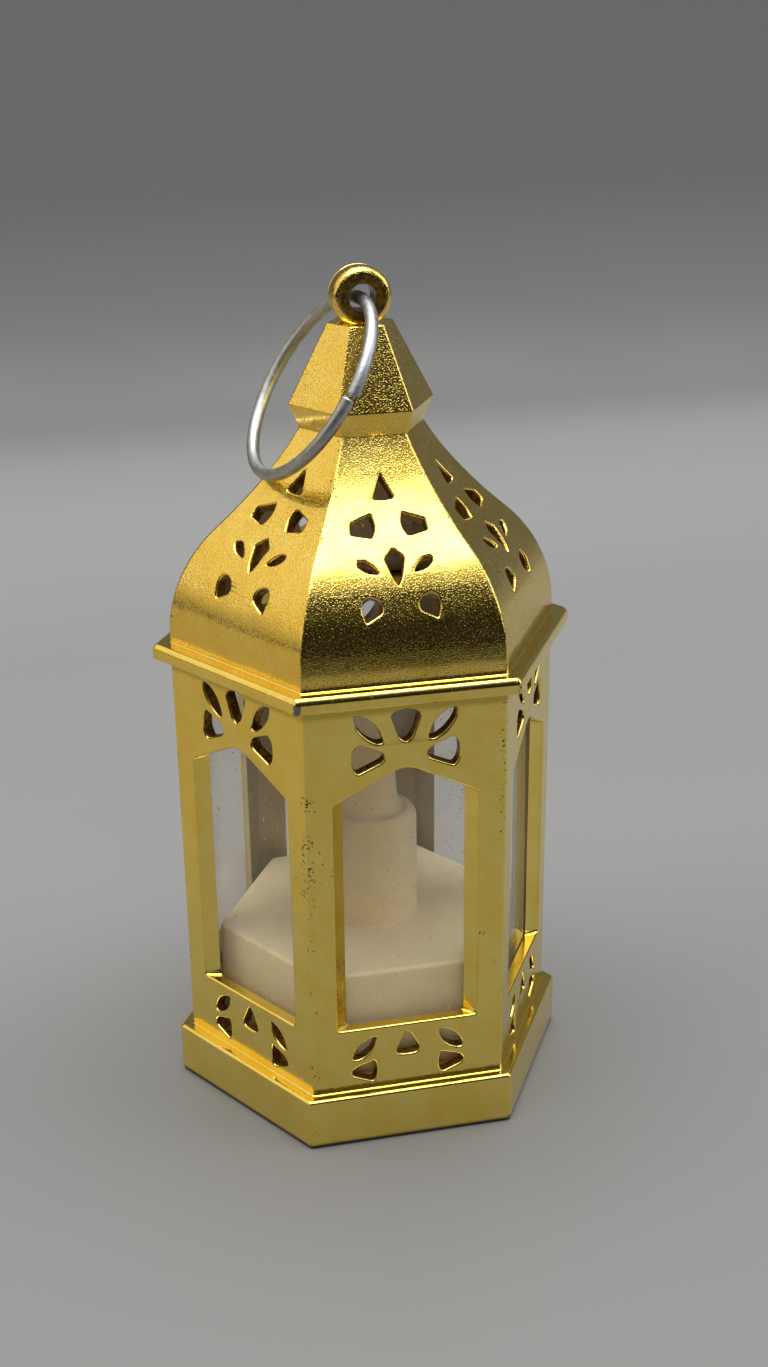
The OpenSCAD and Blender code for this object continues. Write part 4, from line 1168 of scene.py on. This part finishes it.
class LANTERN_OT_walls(bpy.types.Operator):
    """Builds the six walls with their windows, patterns and eave"""
    bl_idname = "lantern.walls"
    bl_label = "Walls"

    def execute(self, context):
        look = context.scene.lantern.look
        w = context.scene.lantern.walls
        form = wall_form(w)
        holes = [(form.laid_out(window_outline(w, w.splay)), form.laid_out(window_outline(w, 0)))]
        holes += form.pattern(UPPER_PAIRS, UPPER_MIDDLE, w.upper_width, w.upper_low, w.upper_height)
        holes += form.pattern(LOWER_PAIRS, LOWER_MIDDLE, w.lower_width, w.lower_low, w.lower_height)
        mesh = form.build(holes, w.edge)
        top = w.top + w.flange
        inside = w.top_flat - w.thickness
        eave = filleted([
            (w.top_flat - w.eave_sunk, w.top, 0), (w.eave_flat, w.top, w.eave_edge),
            (w.eave_flat, top, w.eave_top_edge), (inside, top, FINE_EDGE), (inside, w.top, 0)], steps=7)
        hexagonal(mesh, eave, w.eave_corner)
        reach = w.eave_flat / math.cos(HALF)
        chips = []
        for corner, shift, size in EAVE_CHIPS:
            turn = corner * TURN
            middle = Vector((reach * math.cos(turn), reach * math.sin(turn), w.top + w.flange / 2))
            chips.append((middle + Vector(shift), size))
        # the walls' gold takes a painted shade in the crease below the eave
        gold = gold_finish("wall gold", look, grain=0.35, rough=0.12, levels=(top, w.top), chips=chips,
                           marks=MARKS, crease=w.top - w.crease_drop)
        inner = inner_finish("wall inner side", look)
        hole = hole_finish("wall hole side", look)
        finish_mesh(mesh, "pierced_walls", "lantern", [gold, inner, hole], "cage")
        return {"FINISHED"}


class LANTERN_OT_roof(bpy.types.Operator):
    """Builds the pierced dome with its brim, rim and skirt"""
    bl_idname = "lantern.roof"
    bl_label = "Roof"

    def execute(self, context):
        look = context.scene.lantern.look
        r = context.scene.lantern.roof
        form = SideForm(dome_profile(r), r.thickness, r.corner)
        holes = form.pattern(ROOF_PAIRS, ROOF_MIDDLE, r.pattern_width, r.pattern_low, r.pattern_height)
        mesh = form.build(holes, r.edge)
        brim_start = len(mesh.faces)
        hexagonal(mesh, brim_profile(r), r.corner, closed=True)
        paint_faces(mesh, brim_start, BRIM)
        crown_low = r.top - r.crown
        crown = [(r.neck_flat - r.sunk, r.top), (r.crown_bore, r.top), (r.crown_bore, crown_low),
                 (r.crown_flat, crown_low)]
        hexagonal(mesh, crown, [r.corner, r.crown_bore, r.crown_bore, r.corner])
        worn_edge = r.foot + r.worn
        gold = gold_finish("roof gold", look, grain=1.1, rough=0.08, levels=(worn_edge,), warmth=0.95)
        inner = inner_finish("roof inner side", look)
        hole = hole_finish("roof hole side", look)
        brim = gold_finish("brim gold", look, grain=0.3, rough=0.1, levels=(worn_edge,))
        finish_mesh(mesh, "pierced_roof", "lantern", [gold, inner, hole, brim], "roof")
        return {"FINISHED"}


class LANTERN_OT_finial(bpy.types.Operator):
    """Builds the finial with its eye for the ring"""
    bl_idname = "lantern.finial"
    bl_label = "Finial"

    def execute(self, context):
        look = context.scene.lantern.look
        f = context.scene.lantern.finial
        r = context.scene.lantern.roof
        wide = r.top + f.under
        top = wide + f.taper
        mesh = bmesh.new()
        profile = filleted([
            (f.spigot, r.top + f.hollow, 0), (r.neck_flat, r.top + f.seat, FINE_EDGE),
            (f.flat, wide, f.edge), (f.top_flat, top, f.top_edge), (f.top_core, top, 0)])
        hexagonal(mesh, profile, f.corner, cap_last=True)
        # one half of the eye's section, from the hole over the flat to the rounded rim
        eye = bmesh.new()
        half = f.eye_width / 2
        band = half - f.eye_edge
        inner = f.eye_radius - f.eye_edge
        lip = f.eye_lip
        bend = lip * LIP_SHARE
        section = [(f.eye_hole, half - lip), (f.eye_hole + bend, half - bend), (f.eye_hole + lip, half)]
        for k in range(RIM_STEPS):
            turn = math.pi / 2 * (1 - k / (RIM_STEPS - 0.5))
            section.append((inner + f.eye_edge * math.cos(turn), band + f.eye_edge * math.sin(turn)))
        section += [(f.eye_radius - inward, band - drop) for inward, drop in RIM_END]
        section += [(out, -up) for out, up in reversed(section)]
        section.reverse()
        turned(eye, section, steps=96, closed=True)
        middle_z = top + f.eye_rise
        upright = Matrix.Translation((0, 0, middle_z)) @ Matrix.Rotation(math.pi / 2, 4, "X")
        bmesh.ops.transform(eye, matrix=upright, verts=eye.verts)
        bmesh.ops.recalc_face_normals(eye, faces=eye.faces)
        # the hole and the flat around it take the dark hole finish, which paints shade on the eye's flat
        for face in eye.faces:
            middle = face.calc_center_median()
            face.material_index = int(math.hypot(middle.x, middle.z - middle_z) < inner)
        add_part(mesh, eye)
        gold = gold_finish("finial gold", look, grain=1.2, rough=0.08, levels=(wide,), warmth=0.95)
        hole = hole_finish("eye hole side", look)
        finish_mesh(mesh, "finial_with_eye", "lantern", [gold, hole], "finial")
        return {"FINISHED"}


class LANTERN_OT_ring(bpy.types.Operator):
    """Builds the split hanging ring"""
    bl_idname = "lantern.ring"
    bl_label = "Hanging ring"

    def execute(self, context):
        look = context.scene.lantern.look
        r = context.scene.lantern.ring
        f = context.scene.lantern.finial
        pivot = context.scene.lantern.roof.top + f.under + f.taper + f.eye_rise - r.drop
        gap = r.gap / r.radius
        span = math.tau - gap
        end_size = 1 - r.chamfer / r.wire
        chamfer_share = r.chamfer / r.radius / span
        stops = [(0, end_size), (chamfer_share, 1.0)]
        stops += [(k / RING_STEPS, 1.0) for k in range(1, RING_STEPS)]
        stops += [(1 - chamfer_share, 1.0), (1, end_size)]
        rows = []
        for share, size in stops:
            turn = r.split + gap / 2 + span * share
            side = r.offset * (share - 0.5) * abs(2 * share - 1) ** PARTING
            wobble = r.wobble * math.sin(WOBBLE_WAVES * turn + WOBBLE_START)
            row = []
            for k in range(WIRE_STEPS):
                roll = math.tau * k / WIRE_STEPS
                out = r.radius + wobble + r.wire * size * math.cos(roll)
                across = r.wire * size * math.sin(roll) + side
                row.append((across, out * math.sin(turn), -out * math.cos(turn)))
            rows.append(row)
        mesh = bmesh.new()
        skin(mesh, rows, cap_first=True, cap_last=True)
        place = (Matrix.Translation((0, 0, pivot)) @ Matrix.Rotation(r.yaw, 4, "Z")
                 @ Matrix.Rotation(r.lean, 4, "Y") @ Matrix.Translation((0, 0, -r.radius)))
        bmesh.ops.transform(mesh, matrix=place, verts=mesh.verts)
        bmesh.ops.recalc_face_normals(mesh, faces=mesh.faces)
        finish_mesh(mesh, "wire_ring", "ring", [wire_finish(look)], "hang_ring")
        return {"FINISHED"}


class LANTERN_OT_candle(bpy.types.Operator):
    """Builds the milky candle and its flame"""
    bl_idname = "lantern.candle"
    bl_label = "Candle"

    def execute(self, context):
        look = context.scene.lantern.look
        c = context.scene.lantern.candle
        milk = milk_finish("milky plastic", look.milk)
        glow = milk_finish("flame plastic", shaded(look.milk, 1.02))
        section = filleted([
            (c.flat + c.lip, c.foot, SOFT_EDGE), (c.flat + c.lip, c.lip_top, SOFT_EDGE),
            (c.flat, c.lip_top, FINE_EDGE), (c.flat, c.top, c.edge), (c.pillar, c.top, c.fillet),
            (c.pillar, c.pillar_top, c.shoulder),
            (c.bore, c.pillar_top, 0), (c.bore, c.pillar_top - c.wall, 0),
            (c.pillar - c.wall, c.pillar_top - c.wall, c.inner_shoulder),
            (c.pillar - c.wall, c.top - c.wall, 0), (c.flat - c.wall, c.top - c.wall, c.inner_edge),
            (c.flat - c.wall, c.foot, SOFT_EDGE)], steps=7, closed=True)
        # the pillar is round and the block keeps its corners
        round_out = c.pillar + c.fillet * FILLET_MARGIN
        corners = [out if out < round_out else c.corner for out, up in section]
        mesh = bmesh.new()
        hexagonal(mesh, section, corners, steps=10, closed=True)
        finish_mesh(mesh, "candle_skin", "lantern", [milk], "candle")

        low = c.pillar_top - c.spigot
        seat = c.pillar_top - c.seat
        foot = [(c.spigot_end, low), (c.socket, low), (c.socket, seat), (c.flame_foot, seat)]
        tip = [(c.tip, c.pillar_top + c.flame_height - TIP_DROP)]
        mesh = bmesh.new()
        turned(mesh, foot + flame_profile(c) + tip, steps=64, cap_first=True, cap_last=True)
        finish_mesh(mesh, "flame_tip", "lantern", [glow], "flame")
        return {"FINISHED"}


class LANTERN_OT_liner(bpy.types.Operator):
    """Gives the clear liner its finish"""
    bl_idname = "lantern.liner"
    bl_label = "Clear liner"

    def execute(self, context):
        dress("window_liner", clear_finish())
        return {"FINISHED"}


class LANTERN_OT_underside(bpy.types.Operator):
    """Finishes the bottom plate, its door, switch and screws, and the parts inside"""
    bl_idname = "lantern.underside"
    bl_label = "Underside and light"

    def execute(self, context):
        finishes = {name: plain_finish(name, *settings) for name, settings in SMALL_FINISHES.items()}
        for node, (finish, edge) in SMALL_PARTS.items():
            dress(node, finishes[finish])
            if edge:
                soften_edges(frame["nodes"][node], edge)
        return {"FINISHED"}


# The studio
def floor_finish(look):
    """Pale matt floor with painted light and shade in its tone: lighter towards the backdrop, warmer to the
    left and dark far in front.
    """
    f = Finish("pale floor")
    axes = f.axes()
    tone = look.floor
    # each row paints light or shade into the floor's colour
    for axis, start, end, shares in FLOOR_PAINTED_LIGHT:
        tone = f.mix(f.ramp(axes[axis], start, end), tone, shaded(look.floor, *shares))
    return f.shade({
        "Base Color": tone,
        "Roughness": f.spread(0.42, 0.5, 12, 3),
        "Specular IOR Level": 0.3,
    })


def room_light(scene, strength):
    """Soft light from above and both sides, a dark room in front and a dim one at the back."""
    world = bpy.data.worlds.new("room")
    scene.world = world
    world.use_nodes = True
    f = Nodes(world.node_tree, "Generated")
    axes = f.axes()
    overhead = 0.0
    for low, high, power in OVERHEAD_LIGHT:
        overhead = f.plus(overhead, f.times(f.ramp(axes["Z"], low, high), power))
    toward_left = f.vector("DOT_PRODUCT", LEFT_CARD)
    left = f.times(f.ramp(toward_left, 0.74, 0.90), 0.84)
    right = f.times(f.ramp(f.vector("DOT_PRODUCT", RIGHT_CARD), 0.88, 0.95), 1.6)
    behind = f.times(f.ramp(axes["Y"], -0.1, 0.4), 0.12)
    total = f.plus(f.larger(overhead, f.larger(left, right)), f.plus(behind, ROOM_LIGHT))
    # the left card is warm, and the light over it is not
    warm = f.times(f.ramp(toward_left, 0.66, 0.82), f.ramp(axes["Z"], 0.80, 0.70))
    background = f.tree.nodes["Background"].inputs
    f.put(f.times(total, strength), background["Strength"])
    f.put(f.mix(warm, (1, 1, 1), (1, 0.88, 0.66)), background["Color"])


def build_sweep(look, backdrop):
    """The floor and the backdrop as one sheet with a round bend."""
    rows = [(-FLOOR_REACH, 0.0), (-FLOOR_NEAR, 0.0), (FLOOR_NEAR, 0.0), (backdrop - BEND, 0.0)]
    for k in range(1, BEND_STEPS + 1):
        turn = math.pi / 2 * k / BEND_STEPS
        rows.append((backdrop - BEND + BEND * math.sin(turn), BEND * (1 - math.cos(turn))))
    rows.append((backdrop, BACKDROP_HEIGHT))
    points = [(x, y, z) for y, z in rows for x in (-FLOOR_REACH, FLOOR_REACH)]
    faces = [(2 * i, 2 * i + 1, 2 * i + 3, 2 * i + 2) for i in range(len(rows) - 1)]
    data = bpy.data.meshes.new("sweep")
    data.from_pydata(points, [], faces)
    data.materials.append(floor_finish(look))
    for polygon in data.polygons:
        polygon.use_smooth = True
    piece = bpy.data.objects.new("sweep", data)
    bpy.context.scene.collection.objects.link(piece)


def build_fill_light(scene, strength):
    """A warm soft light in front, which no surface mirrors."""
    fill_light = bpy.data.lights.new("fill", "AREA")
    fill_light.shape = "DISK"
    fill_light.size = 0.4
    fill_light.energy = 0.72 * strength
    fill_light.color = (1, 0.74, 0.38)
    lamp = bpy.data.objects.new("fill", fill_light)
    lamp.visible_glossy = False
    place = Vector(FILL_PLACE)
    aim = (place - Vector(FILL_AIM)).to_track_quat("Z", "Y")
    lamp.matrix_world = Matrix.Translation(place) @ aim.to_matrix().to_4x4()
    scene.collection.objects.link(lamp)


def build_camera(scene, studio):
    """The camera at its place, turned by its azimuth, elevation and roll."""
    data = bpy.data.cameras.new("camera")
    data.lens = studio.focal
    data.sensor_width = 36
    data.clip_start = 0.01
    data.clip_end = 10
    camera = bpy.data.objects.new("camera", data)
    side = Vector((math.cos(studio.azimuth), math.sin(studio.azimuth), 0))
    back = Vector((math.sin(studio.azimuth) * math.cos(studio.elevation),
                   -math.cos(studio.azimuth) * math.cos(studio.elevation), math.sin(studio.elevation)))
    up = back.cross(side)
    right = side * math.cos(studio.roll) + up * math.sin(studio.roll)
    top = up * math.cos(studio.roll) - side * math.sin(studio.roll)
    turn = Matrix((right, top, back)).transposed()
    camera.matrix_world = Matrix.Translation(Vector(studio.camera)) @ turn.to_4x4()
    scene.collection.objects.link(camera)
    scene.camera = camera


class LANTERN_OT_studio(bpy.types.Operator):
    """Builds the floor, the backdrop, the lights and the camera"""
    bl_idname = "lantern.studio"
    bl_label = "Studio"

    def execute(self, context):
        scene = context.scene
        studio = scene.lantern.studio
        build_sweep(scene.lantern.look, studio.backdrop)
        room_light(scene, studio.light)
        scene.view_settings.view_transform = "Standard"
        build_fill_light(scene, studio.light)
        build_camera(scene, studio)
        return {"FINISHED"}


class LANTERN_PT_sidebar(bpy.types.Panel):
    """Lists the lantern's pieces and their sizes"""
    bl_idname = "LANTERN_PT_sidebar"
    bl_label = "Lantern"
    bl_space_type = "VIEW_3D"
    bl_region_type = "UI"
    bl_category = "Lantern"

    def draw(self, context):
        settings = context.scene.lantern
        for operator in OPERATORS:
            self.layout.operator(operator.bl_idname)
        for group in settings.bl_rna.properties:
            if group.type != "POINTER" or not hasattr(settings, group.identifier):
                continue
            box = self.layout.box()
            box.label(text=group.identifier.capitalize())
            part = getattr(settings, group.identifier)
            for item in part.bl_rna.properties:
                if item.identifier not in ("rna_type", "name"):
                    box.prop(part, item.identifier)


OPERATORS = (LANTERN_OT_plinth, LANTERN_OT_walls, LANTERN_OT_roof, LANTERN_OT_finial, LANTERN_OT_ring,
             LANTERN_OT_candle, LANTERN_OT_liner, LANTERN_OT_underside, LANTERN_OT_studio)
GROUPS = (PlinthSizes, WallSizes, RoofSizes, FinialSizes, RingSizes, CandleSizes, LookSettings,
          StudioSettings, LanternSettings)


def register():
    """Registers the settings, the operators and the panel."""
    for item in GROUPS + OPERATORS + (LANTERN_PT_sidebar,):
        bpy.utils.register_class(item)
    bpy.types.Scene.lantern = PointerProperty(type=LanternSettings)


def unregister():
    """Takes away what register added."""
    del bpy.types.Scene.lantern
    for item in reversed(GROUPS + OPERATORS + (LANTERN_PT_sidebar,)):
        bpy.utils.unregister_class(item)


def main():
    """Registers the settings that hold the sizes, and builds the lantern and its studio."""
    register()
    bpy.ops.lantern.plinth()
    bpy.ops.lantern.walls()
    bpy.ops.lantern.roof()
    bpy.ops.lantern.finial()
    bpy.ops.lantern.ring()
    bpy.ops.lantern.candle()
    bpy.ops.lantern.liner()
    bpy.ops.lantern.underside()
    bpy.ops.lantern.studio()


if __name__ == "__main__":
    main()
